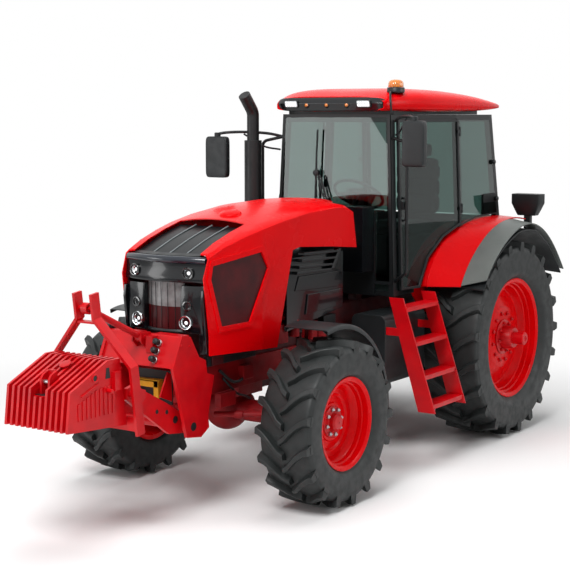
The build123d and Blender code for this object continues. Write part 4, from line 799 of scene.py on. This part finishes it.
# printed black edge of the windscreen, rubber seals of the side panes, and the knobs that hold them
seals = [frame_ring([(-563, 1394), (563, 1394), (top, 2744), (-top, 2744)], 26,
                    lambda p, d: screen(p, -1307 - d), 2)]
for flip in (1, -1):
    place = lambda p, d: np.stack([flip * (SIDE_X + 2 - CAB_LEAN * (p[:, 1] - CAB_FOOT) + d),
                                   p[:, 0], p[:, 1]], axis=1)
    seals.append(frame_ring(SIDE, 12, place, 7))
    for y, z in ((250, 2330), (290, 2010)):
        x = SIDE_X + 7.5 - CAB_LEAN * (z - CAB_FOOT)
        seals.append(lathe([(0, 14), (14, 22), (24, 22), (30, 14), (31, 2)],
                           (flip * x, y, z), (flip, 0, 0), 20))
    seals.append(block(flip * 655, flip * 680, 60, 290, 1880, 2060))
piece("cab_seals", "tractor", seals, powder_black, outward=True, edge_mm=1)
# two wipers parked over the middle of the windscreen, each an arm and a longer blade
wipers = []
for x, tip, lift in ((-150, -142, 2560), (-118, -28, 2010)):
    wipers.append(pipe([(x, -1318, 2050), (x + 4, -1326, 2250), (tip, -1322, lift)], 6))
wipers += [pipe([(-160, -1322, 1990), (-150, -1326, 2280), (-140, -1318, 2620)], 8),
           pipe([(-110, -1322, 2220), (-60, -1328, 2100), (0, -1324, 1985)], 7),
           pipe([(-136, -1322, 2262), (-100, -1328, 2140), (-40, -1324, 1985)], 7),
           lathe([(-30, 20), (-24, 26), (10, 26), (14, 18)], (-152, -1322, 2270), (0, -1, 0), 20)]
piece("windscreen_wipers", "tractor", wipers, black_abs, outward=True)


# Nose: brow, lamp panel, pods, middle mesh, corner cheeks and the sloping grille
def bowed(section, half, bow, samples=41, drop=0.0):
    """A section of (y, z) carried across: y moves forward by bow (1 - u^2), and z drops as u^4."""
    p = np.asarray(section, float)
    u = np.linspace(-1, 1, samples)[:, None]
    x = half * u + 0 * p[:, 0]
    y = p[:, 0] - bow * (1 - u ** 2)
    z = p[:, 1] - drop * u ** 4 + 0 * x
    return closed(m(np.stack([x, y, z], axis=-1)))


NOSE = BODY["hood_nose"]
NOSE_BACK = -3444           # Y in mm of the drawn nose's face, where the dressed pieces start
brow = bowed([(NOSE_BACK, 1785), (-3452, 1787), (-3462, 1782), (-3470, 1772), (-3473, 1758),
              (-3466, 1742), (NOSE_BACK, 1734)], 345, 84, drop=6)
piece("nose_brow", NOSE, [brow], brow_blue, ["hood_nose"], sharp=50, outward=True)
panel = bowed([(NOSE_BACK, 1740), (-3456, 1740), (-3457, 1700), (-3462, 1650), (-3470, 1622),
               (-3466, 1608), (NOSE_BACK, 1602)], 356, 76)
piece("nose_lamp_panel", NOSE, [panel], piano_black, sharp=50, outward=True)
lower = []
for flip in (1, -1):
    x = np.array([158, 166, 200, 250, 300, 338, 348]) * flip
    z = np.linspace(1258, 1585, 12)[:, None]
    swell = np.sin(np.pi * (z - 1250) / 345) ** 0.5
    proud = 56 * (1 - (x / 400) ** 2) + np.array([0, 14, 20, 20, 16, 8, 0])
    y = -3452 - proud * (0.65 + 0.35 * swell) + 0 * z
    front = np.stack([x + 0 * y, y, z + 0 * y], axis=-1)
    rear_face = front.copy()
    rear_face[..., 1] = NOSE_BACK
    ring = np.concatenate([front, rear_face[:, ::-1]], axis=1)
    lower.append(closed(m(ring)))
    cheek = [(-3496, 1560), (-3506, 1480), (-3488, 1330), (-3474, 1180), (-3462, 1116), (NOSE_BACK, 1112),
             (NOSE_BACK, 1570)]
    lower.append(slab(cheek, flip * 330, flip * 352))
    lower.append(slab([(-3478, 1258), (-3468, 1112), (NOSE_BACK, 1112), (NOSE_BACK, 1258)],
                      flip * 296, flip * 332))
piece("nose_lamp_pods", NOSE, lower, piano_black, sharp=40, outward=True, edge_mm=4)
sill = bowed([(NOSE_BACK, 1274), (-3466, 1274), (-3472, 1262), (-3464, 1252), (NOSE_BACK, 1252)], 160, 44)
piece("nose_sill", NOSE, [sill], black_abs, outward=True)
wires = bowed([(-3450, 1600), (-3458, 1600), (-3457, 1432), (-3449, 1432)], 158, 50, samples=33)
piece("nose_mesh", NOSE, [wires], mesh_grey, outward=True)
wires = bowed([(-3449, 1434), (-3457, 1434), (-3456, 1272), (-3448, 1272)], 158, 50, samples=33)
piece("nose_mesh_low", NOSE, [wires], mesh_red, outward=True)
bars = [pipe([(x, y + 0.0021 * x * x, z) for y, z in ((-3510, 1278), (-3514, 1440), (-3518, 1598))], 2.2)
        for x in (-104, -52, 0, 52, 104)]
piece("nose_mesh_bars", NOSE, bars, piano_black, outward=True)


def headlamp(x, y, z, r, depth):
    """Bezel, reflector bowl and domed lens, all turned about the lamp's own axis."""
    axis = (0.10 * np.sign(x), -1, 0.02)
    bezel = lathe([(-30, r + 4), (depth, r + 4), (depth + 5, r), (depth + 4, r - 5), (depth - 8, r - 7),
                   (-30, r - 7)], (x, y, z), axis, 40)
    bowl = lathe([(-29, r - 8), (depth - 9, r - 8), (depth - 14, r - 11), (depth - 22, r * 0.55),
                  (depth - 25, r * 0.25), (depth - 25, 1)], (x, y, z), axis, 40)
    bulb = lathe([(depth - 26, r * 0.34), (depth - 16, r * 0.34), (depth - 10, r * 0.2), (depth - 9, 1)],
                 (x, y, z), axis, 24)
    return bezel, bowl, bulb


shapes = {"bezel": [], "rim": [], "bowl": [], "bulb": [], "cap": []}
for flip in (1, -1):
    for x, y, z, r, depth in ((232, -3506, 1672, 40, 14), (210, -3508, 1332, 46, 14)):
        bezel, bowl, bulb = headlamp(flip * x, y, z, r, depth)
        shapes["bezel" if z < 1500 else "rim"].append(bezel)
        shapes["bowl"].append(bowl)
        shapes["bulb"].append(bulb)
    shapes["cap"].append(lathe([(-20, 38), (8, 38), (14, 34), (15, 26), (4, 22), (2, 2)],
                               (flip * 222, -3506, 1448), (0.1 * flip, -1, 0.02), 36))
piece("headlamp_bezels", NOSE, shapes["bezel"], reflector, outward=True)
piece("headlamp_rims", NOSE, shapes["rim"], lens_dark, outward=True)
piece("headlamp_reflectors", NOSE, shapes["bowl"], reflector, ["hood_lamps"], outward=True)
piece("headlamp_bulbs", NOSE, shapes["bulb"], led_white, outward=True)
piece("fog_lamps_dark", NOSE, shapes["cap"], lens_dark, outward=True)

run, rise = -2926 + 3446, 1952 - 1784
share = np.linspace(0, 1, 9)
y = -3446 + run * share
z = 1776 + rise * share + 14 * np.sin(np.pi * share)
plate = np.stack([np.concatenate([y, y[::-1]]), np.concatenate([z, z[::-1] - 8])], axis=1)
piece("grille_mesh", NOSE, [slab(plate, -288, 288)], mesh_black, outward=True, sharp=50)
ribs = [pipe([(x, -3440, 1782), (x, -3186, 1876), (x, -2930, 1951)], 5) for x in (-144, 0, 144)]
piece("grille_ribs", NOSE, ribs, rib_grey, outward=True)
ledge = bowed([(-3400, 1800), (-3452, 1788), (-3452, 1782), (-3400, 1786)], 286, 60)
piece("nose_ledge", NOSE, [ledge], black_abs, outward=True)


# Latch bulge on the hood's top, turned about the hood's own normal there
BULGE = (60, -2790, 82)             # x, y and radius in mm
spot = m([(BULGE[0], BULGE[1], 0)])[0]
_, place, normal, _ = hood.ray_cast((spot[0], spot[1], 3), (0, 0, -1))
r = BULGE[2]
bulge = lathe([(-8, r), (4, r), (14, r - 8), (24, r - 28), (29, r - 52), (30, 1)],
              (np.array(place) - [0, CENTRE_Y, 0]) / MM, tuple(normal), 40)
piece("hood_bulge", BODY["hood_shell"], [bulge], enamel, outward=True, sharp=60)


# Side window of the hood: woven wire behind the collar
dressed("hood_side_mesh", 0)

# Cowl vents: three slanted slats in a frame on each side, and the machinery in the bay below
for flip, side in ((1, "left"), (-1, "right")):
    slats = []
    for n in range(3):
        z = 1728 - 48 * n
        slats.append(slab([(-2330 - 26 * n, z), (-1846 - 40 * n, z - 16), (-1850 - 40 * n, z - 34),
                           (-2336 - 26 * n, z - 22)],
                          flip * 346, flip * (404 - 4 * n)))
    slats += [slab([(-1840, 1724), (-1800, 1720), (-1900, 1572), (-1944, 1574)], flip * 346, flip * 396),
              slab([(-2400, 1590), (-1930, 1578), (-1930, 1560), (-2406, 1566)], flip * 346, flip * 388),
              slab([(-2330, 1548), (-1760, 1540), (-1800, 1420), (-2380, 1440)], flip * 346, flip * 354),
              slab([(-2210, 1400), (-1720, 1400), (-1720, 1270), (-2240, 1250)], flip * 346, flip * 356)]
    piece(f"cowl_vent_{side}", "tractor", slats, piano_black, edge_mm=4, outward=True)
    red = [lathe([(0, 30), (4, 50), (120, 50), (132, 42), (136, 10)],
                 (flip * 300, -1960, 1010), (0, 0, 1), 28),
           lathe([(0, 20), (4, 38), (130, 38), (140, 28), (142, 8)],
                 (flip * 310, -2330, 1090), (0, 0, 1), 28),
           pipe([(flip * 250, -2560, 1230), (flip * 300, -2420, 1250), (flip * 310, -2260, 1220),
                 (flip * 280, -2080, 1160)], 18),
           block(flip * 262, flip * 318, -2560, -2420, 1060, 1200),
           block(flip * 262, flip * 330, -2120, -2040, 1040, 1180),
           pipe([(flip * 120, -3080, 610), (flip * 260, -3020, 616), (flip * 450, -2930, 622)], 22),
           lathe([(0, 30), (60, 30), (66, 22), (66, 4)], (flip * 260, -3020, 616), (0.9 * flip, 0.43, 0), 20),
           block(flip * 248, flip * 300, -3240, -3060, 700, 800),
           block(flip * 246, flip * 300, -2960, -2840, 860, 960)]
    dark = [pipe([(flip * 240, -2520, 1330), (flip * 318, -2360, 1300), (flip * 322, -2160, 1330),
                  (flip * 290, -1960, 1300)], 15),
            pipe([(flip * 240, -2300, 1120), (flip * 262, -2150, 1110), (flip * 262, -1980, 1120),
                  (flip * 250, -1800, 1090)], 12),
            pipe([(flip * 260, -3200, 960), (flip * 284, -3060, 860), (flip * 280, -2900, 880),
                  (flip * 250, -2800, 900)], 11),
            pipe([(flip * 262, -3160, 900), (flip * 290, -3040, 780), (flip * 284, -2930, 740),
                  (flip * 262, -2830, 700)], 9),
            lathe([(0, 60), (4, 74), (40, 74), (46, 60), (46, 10)],
                  (flip * 226, -2290, 1150), (flip, 0, 0), 32),
            # a black block under the hood's lower edge: painted shade beneath the hood
            block(flip * 250, flip * 290, -3370, -2800, 1012, 1084),
            block(flip * 262, flip * 318, -1930, -1760, 1080, 1200)]
    # the red machinery takes the enamel painted darker as painted shade
    piece(f"engine_filters_{side}", "tractor", red, casting_shade, edge_mm=4, outward=True)
    piece(f"engine_hoses_{side}", "tractor", dark, black_abs, edge_mm=4, outward=True)
    # mudguard over the front wheel: an arc with rolled edges, open below
    arc = np.radians(np.linspace(-8, 104, 41))[:, None]
    across = np.array([(624, 664), (624, 688), (630, 695), (972, 697), (981, 692), (985, 684), (985, 660),
                       (979, 660), (979, 683), (972, 689), (632, 689), (630, 664)], float)
    x = flip * across[:, 0] + 0 * arc
    fan = np.stack([x, FRONT_AXLE[0] + across[:, 1] * np.cos(arc),
                    FRONT_AXLE[1] + across[:, 1] * np.sin(arc)], axis=-1)
    piece(f"front_mudguard_{side}", f"knuckle_{side}", [closed(m(fan))], black_abs, [f"front_fender_{side}"],
          sharp=45, outward=True)


# Ballast block: core, twelve ribs over its front and slope, the pocket with its pin, the sides
FULL = [(-4762, 799), (-4730, 1049), (-4383, 1203), (-4268, 1203), (-4208, 760)]
NOTCHED = [(-4762, 799), (-4736, 1000), (-4596, 1000), (-4596, 1108), (-4383, 1203), (-4268, 1203),
           (-4208, 760)]
CORE = [(-4728, 799), (-4696, 1029), (-4375, 1169), (-4263, 1169), (-4208, 760)]
CORE_CUT = [(-4728, 799), (-4700, 1000), (-4596, 1000), (-4596, 1073), (-4375, 1169), (-4263, 1169),
            (-4208, 760)]
parts = [slab(CORE, -BALLAST_HALF, -60), slab(CORE_CUT, -60, 60), slab(CORE, 60, BALLAST_HALF)]
RIBS = 12
for k in range(RIBS):
    x = -BALLAST_HALF + 521 / (RIBS - 1) * k
    parts.append(slab(NOTCHED if k in (5, 6) else FULL, x, x + 19))
CLEVIS = [(-4672, 1000), (-4672, 1100), (-4650, 1128), (-4600, 1150), (-4590, 1000)]
parts += [slab(CLEVIS, -42, -26), slab(CLEVIS, 26, 42), block(-26, 26, -4606, -4590, 1080, 1152),
          lathe([(0, 40), (8, 40), (10, 30), (10, 4)], (0, -4480, 1166), (0, -0.405, 0.914), 24)]
for flip in (1, -1):
    for n in range(9):
        y = -4668 + 40 * n
        top = 965 + min(0.38 * (y + 4668), 70)
        parts.append(slab([(y, 862), (y + 20, 860), (y + 20, top + 8), (y, top)], flip * 268, flip * 276))
    parts.append(slab([(-4640, 1016), (-4630, 1004), (-4470, 1062), (-4476, 1078)], flip * 268, flip * 278))
    parts.append(slab([(-4345, 1005), (-4345, 1126), (-4290, 1126), (-4283, 1005)], flip * 268, flip * 296))
    parts.append(lathe([(0, 28), (5, 28), (7, 24), (6, 19), (2, 18), (2, 16)],
                       (flip * BALLAST_HALF, -4507, 1109), (flip, 0, 0), 32))
    parts.append(lathe([(0, 14), (44, 14), (48, 10), (49, 1)], (flip * BALLAST_HALF, -4393, 1013),
                       (flip, 0, 0), 20))
piece("ballast_casting", BODY["ballast_block"], parts, casting_red, ["ballast_block"], edge_mm=4,
      outward=True)
# black patches in the pocket, the side bosses and the side grooves: painted shade in these recesses
dark = [block(-56, 56, -4698, -4640, 1000.5, 1004)]
for flip in (1, -1):
    dark.append(lathe([(1.4, 18), (2.4, 18), (2.4, 1)], (flip * BALLAST_HALF, -4507, 1109), (flip, 0, 0), 24))
    dark.append(slab([(-4408, 1090), (-4400, 1158), (-4372, 1158), (-4362, 1090)], flip * 269, flip * 271.5))
piece("ballast_recess_shadows", BODY["ballast_block"], dark, black_abs, outward=True)
piece("ballast_pin", BODY["ballast_block"],
      [lathe([(0, 9), (3, 14), (77, 14), (80, 9), (80, 2)], (-40, -4644, 1080), (1, 0, 0), 28)],
      bare_steel, outward=True)


# Rear fender linings: the inside of each arch, down to its rear end, black as painted shade under the fender
for flip, side in ((1, "left"), (-1, "right")):
    line = smooth_line([(-700, 1340), (-560, 1500), (-390, 1630), (-160, 1735), (34, 1780), (300, 1755),
                        (550, 1630), (745, 1462), (850, 1350)], 41)
    x = np.array([505, 700, 900, 1070])
    drop = np.array([0, 0, 0, 14])
    top_face = np.stack([np.broadcast_to(flip * x, (41, 4)), np.broadcast_to(line[:, :1], (41, 4)),
                         line[:, 1:] - drop], axis=-1)
    under = top_face[:, ::-1] - [0, 0, 12]
    wall = np.concatenate([line[20:], [(850, 1180), (500, 1100), (60, 1120)]])
    parts = [closed(m(np.concatenate([top_face, under], axis=1))), slab(wall, flip * 500, flip * 512)]
    piece(f"arch_shadow_lining_{side}", "tractor", parts, black_abs, outward=True,
          sharp=40)
    # flared lamp housing on its stem
    taper = np.array([(1852, 0.62), (1900, 0.80), (1960, 1.0), (2043, 1.0)])
    base = rounded_outline(134, 66, 14)
    rings = [np.stack([flip * 866 + base[:, 0] * f, 570 + base[:, 1] * f, np.full(len(base), z)], axis=1)
             for z, f in taper]
    piece(f"rear_lamp_housing_{side}", "tractor",
          [closed(m(np.stack(rings))), block(flip * 870 - 30, flip * 870 + 30, 540, 590, 1640, 1860)],
          black_abs, ["rear_lamp_boxes"] if flip > 0 else (), edge_mm=4,
          outward=True)
    lamp_parts = [face_plate(flip * (800 + 60 * n), 1990, 24, 30, 10, 632, 640) for n in range(3)]
    piece(f"rear_lamp_lenses_{side}", "tractor", lamp_parts, amber_lens,
          outward=True)


# Hitch couplers, hoses and bolts
slope = np.array([0, -88, -199.0])
slope /= np.linalg.norm(slope)
out = np.array([0, slope[2], -slope[1]])
caps, sleeves = [], []
for k in range(3):
    base = np.array([150, -3700, 1262]) + slope * (52 + 60 * k)
    sleeves.append(lathe([(0, 23), (14, 23), (16, 18), (30, 18), (30, 4)], base, out, 24))
    caps.append(lathe([(16, 10), (18, 21), (50, 22), (58, 18), (62, 10), (63, 1)], base, out, 24))
for k in range(4):
    x = -390 + 52 * (k % 2)
    z = 1225 + 48 * (k // 2)
    caps.append(lathe([(0, 10), (0, 20), (56, 21), (64, 14), (65, 1)], (x, -3640, z), (0, -1, 0.15), 20))
    caps.append(pipe([(x, -3640, z), (x - 10, -3580, z + 10), (x - 30, -3520, z - 40),
                      (x - 40, -3480, z - 120)], 11))
piece("hitch_coupler_sleeves", "tractor", sleeves, bare_steel, ["hitch_couplers"], outward=True)
piece("hitch_coupler_caps", "tractor", caps, black_abs, outward=True)


def bolt(base, axis, radius, height):
    """Washer and hexagon head with a slight dome; the hexagon is the count of its turning."""
    washer = lathe([(0, radius * 1.5), (height * 0.25, radius * 1.5), (height * 0.25, radius * 0.4)], base,
                   axis, 18)
    head = lathe([(height * 0.2, radius), (height * 0.85, radius), (height, radius * 0.8),
                  (height, radius * 0.1)], base, axis, 6)
    return [washer, head]


PLATE_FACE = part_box("hitch_frame")[1][0] / MM
bolts = []
for flip in (1, -1):
    for y, z in ((-3720, 1212), (-3624, 1196)):
        bolts += bolt((flip * PLATE_FACE, y, z), (flip, 0, 0), 9, 9)
    bolts.append(slab([(-3790, 862), (-3706, 1020), (-3672, 1000), (-3664, 812)], flip * 196, flip * 208))
    bolts.append(slab([(-3700, 1258), (-3600, 1258), (-3600, 1268), (-3690, 1268)], flip * 60, flip * 306))
bolts += [block(60, 120, -3760, -3700, 1150, 1262), block(-420, -330, -3600, -3560, 1180, 1300)]
piece("hitch_plate_bolts", "tractor", bolts, casting_red, outward=True)


# Guard of the front shaft: a bent yellow flat, with a black plate behind it as painted shade in the opening
piece("shaft_guard_bar", BODY["pto_guard"],
      [block(-88, 121, -3706, -3650, 936, 951), block(-88, 121, -3706, -3696, 900, 951),
       block(78, 121, -3706, -3650, 828, 951)],
      guard_yellow, ["pto_guard"], edge_mm=4, outward=True)
piece("shaft_opening_shadow", "tractor", [block(-186, 186, -3634, -3626, 780, 1010)], black_abs,
      outward=True)

# black discs in the holes of the lift arms and the hitch plate: painted shade
holes = []
for flip in (1, -1):
    for y, z, r in ((-3893, 787, 11), (-3790, 768, 11), (-3700, 700, 22)):
        holes.append(lathe([(-1, r + 4), (1, r + 4), (1.4, r), (1.6, 1)], (flip * ARM_FACE, y, z),
                           (flip, 0, 0), 24))
piece("lift_arm_hole_shadows", BODY["front_lift_arms"], holes, black_abs, outward=True)
holes = [lathe([(-1, 30), (1, 30), (1.4, 24), (1.6, 1)], (flip * PLATE_FACE, -3590, 640), (flip, 0, 0), 24)
         for flip in (1, -1)]
piece("hitch_plate_hole_shadows", "tractor", holes, black_abs, outward=True)


# Seat: cushions blown up as cloth, then sewn channels pressed in
CLOTH_FRAMES = 20
CLOTH_CAP = 0.018           # metres that the cloth may move a point
CHANNEL = 0.012             # depth and half width of a sewn channel, metres


def cushion(name, centre, half, channels):
    """A closed form crowned by pressure: a rounded box is remeshed and inflated as cloth, the move is capped,
    and each sewn channel is pressed in by depth exp(-(d / w)^2) of its distance d."""
    obj = bpy.data.objects.new(name, mesh_of(name, [pillow(centre, np.asarray(half) * 0.93, 0.3)]))
    bpy.context.scene.collection.objects.link(obj)
    remesh = obj.modifiers.new("remesh", "REMESH")
    remesh.mode, remesh.voxel_size = "VOXEL", 0.011
    bake(obj)
    start = coordinates(obj)
    cloth = obj.modifiers.new("cloth", "CLOTH")
    cloth.settings.use_pressure = True
    cloth.settings.uniform_pressure_force = 4
    cloth.settings.effector_weights.gravity = 0
    cloth.point_cache.frame_start, cloth.point_cache.frame_end = 1, CLOTH_FRAMES
    for step in range(1, CLOTH_FRAMES + 1):
        bpy.context.scene.frame_set(step)
    bake(obj)
    bpy.context.scene.frame_set(1)
    now = coordinates(obj)
    if len(now) == len(start):
        move = now - start
        size = np.linalg.norm(move, axis=1)[:, None]
        now = start + move * np.minimum(1, CLOTH_CAP / np.maximum(size, 1e-9))
    middle = m([centre])[0]
    reach = np.asarray(half) * MM
    now = middle + np.clip(now - middle, -reach, reach)
    for axis, at in channels:
        d = now[:, axis] - (middle[axis] + at * MM)
        pinch = CHANNEL * np.exp(-(d / CHANNEL) ** 2)[:, None]
        far = np.linalg.norm((now - middle) / reach, axis=1)[:, None] * reach.min()
        now -= pinch * (now - middle) / np.maximum(far, 1e-6) * 0.5
    obj.data.vertices.foreach_set("co", now.astype(np.float32).ravel())
    obj.data.update()
    sub = obj.modifiers.new("round", "SUBSURF")
    sub.levels = sub.render_levels = 1
    obj.data.shade_smooth()
    obj.data.materials.clear()
    obj.data.materials.append(seat_cloth)
    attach(obj, "tractor")
    return obj


def coordinates(obj):
    """The points of an object's mesh as an array."""
    flat = np.empty(len(obj.data.vertices) * 3, np.float32)
    obj.data.vertices.foreach_get("co", flat)
    return flat.reshape(-1, 3).astype(float)


def bake(obj):
    """Applies the modifiers: the evaluated mesh becomes the piece's own."""
    graph = bpy.context.evaluated_depsgraph_get()
    mesh = bpy.data.meshes.new_from_object(obj.evaluated_get(graph))
    obj.modifiers.clear()
    obj.data = mesh


seat = cushion("seat_base_cushion", (0, -170, 1762), (245, 245, 58), [(0, -130), (0, 130)])
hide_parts("seat_cushions")
cushion("seat_back_cushion", (0, 120, 2110), (235, 58, 285), [(2, -90), (2, 60), (2, 190)])
cushion("seat_head_cushion", (0, 125, 2425), (130, 48, 60), [])


# Floor, light, camera
# name, place, aim, width, height, turn about its own axis, power; the card lights the windscreen's reflection
LAMPS = (("key", (1.8, -6.5, 7.3), (0, -0.5, 1), 3, 3, 0, 470),
         ("screen_card", (-6.45, -8.47, 2.65), (0, 0.5, 2), 2.6, 4, 34, 130),
         ("top", (-0.5, 0.5, 8), (0, 0, 0), 6, 6, 0, 430),
         ("rim", (7, 3, 4.5), (0, 0, 1.2), 3, 3, 0, 110))
FLOOR_HALF = 60             # metres
FADE = (2.4, 5.8)           # metres from the middle where the floor's shadow starts and ends to fade
WORLD_LIGHT = 0.26          # share of the white world that falls on matt surfaces


def studio():
    """Pale floor that keeps the shadow and fades to white outwards, large soft lamps, white world."""
    mesh = bpy.data.meshes.new("floor")
    h = FLOOR_HALF
    mesh.from_pydata([(-h, -h, 0), (h, -h, 0), (h, h, 0), (-h, h, 0)], [], [(0, 1, 2, 3)])
    floor = bpy.data.objects.new("floor", mesh)
    bpy.context.scene.collection.objects.link(floor)
    paper = bpy.data.materials.new("pale_floor")
    paper.use_nodes = True
    tree = paper.node_tree
    shader = tree.nodes["Principled BSDF"]
    shader.inputs["Base Color"].default_value = linear("#fbfbfb")
    shader.inputs["Roughness"].default_value = 0.9
    shader.inputs["Specular IOR Level"].default_value = 0.1
    white = add(tree, "ShaderNodeEmission", {"Strength": 1.0})
    place = add(tree, "ShaderNodeTexCoord")
    reach = add(tree, "ShaderNodeVectorMath", {"operation": "LENGTH"}, {0: place.outputs["Object"]})
    fade = add(tree, "ShaderNodeMapRange",
               {"interpolation_type": "SMOOTHSTEP", "From Min": FADE[0], "From Max": FADE[1]},
               {"Value": reach.outputs["Value"]})
    path = add(tree, "ShaderNodeLightPath")
    seen = add(tree, "ShaderNodeMath", {"operation": "MAXIMUM"},
               {0: path.outputs["Is Camera Ray"], 1: path.outputs["Is Transmission Ray"]})
    share = add(tree, "ShaderNodeMath", {"operation": "MULTIPLY"},
                {0: fade.outputs["Result"], 1: seen.outputs[0]})
    mix = add(tree, "ShaderNodeMixShader", {}, {0: share.outputs[0], 1: shader.outputs["BSDF"],
                                                2: white.outputs["Emission"]})
    tree.links.new(mix.outputs["Shader"], tree.nodes["Material Output"].inputs["Surface"])
    mesh.materials.append(paper)
    world = bpy.data.worlds.new("studio")
    bpy.context.scene.world = world
    world.use_nodes = True
    tree = world.node_tree
    back = tree.nodes["Background"]
    path = add(tree, "ShaderNodeLightPath")
    seen = add(tree, "ShaderNodeMath", {"operation": "MAXIMUM"},
               {0: path.outputs["Is Camera Ray"], 1: path.outputs["Is Transmission Ray"]})
    seen = add(tree, "ShaderNodeMath", {"operation": "MAXIMUM"},
               {0: seen.outputs[0], 1: path.outputs["Is Glossy Ray"]})
    level = add(tree, "ShaderNodeMapRange", {"To Min": WORLD_LIGHT, "To Max": 1.0},
                {"Value": seen.outputs[0]})
    back.inputs["Color"].default_value = (1, 1, 1, 1)
    tree.links.new(level.outputs["Result"], back.inputs["Strength"])
    for name, place, aim, wide, tall, roll, power in LAMPS:
        lamp = bpy.data.lights.new(name, "AREA")
        lamp.shape, lamp.size, lamp.size_y, lamp.energy = "RECTANGLE", wide, tall, power
        obj = bpy.data.objects.new(name, lamp)
        bpy.context.scene.collection.objects.link(obj)
        obj.visible_glossy = name != "top"
        obj.location = place
        direction = np.array(aim, float) - np.array(place, float)
        yaw = math.atan2(direction[1], direction[0]) - math.pi / 2
        pitch = math.atan2(direction[2], math.hypot(direction[0], direction[1]))
        turned = mathutils.Euler((math.pi / 2 + pitch, 0, yaw)).to_matrix()
        obj.rotation_euler = (turned @ mathutils.Matrix.Rotation(math.radians(roll), 3, "Z")).to_euler()


studio()
camera = bpy.data.cameras.new("camera")
camera.sensor_width = 36
camera.lens = 1413.9 / 570 * camera.sensor_width        # focal length solved in pixels of a 570-pixel picture
eye = bpy.data.objects.new("camera", camera)
bpy.context.scene.collection.objects.link(eye)
eye.location = (6.1271, -11.0259 + CENTRE_Y, 2.7483)
eye.rotation_euler = (math.radians(90 - 6.91), 0, math.radians(34.16))
bpy.context.scene.camera = eye
bpy.context.scene.view_settings.view_transform = "Standard"
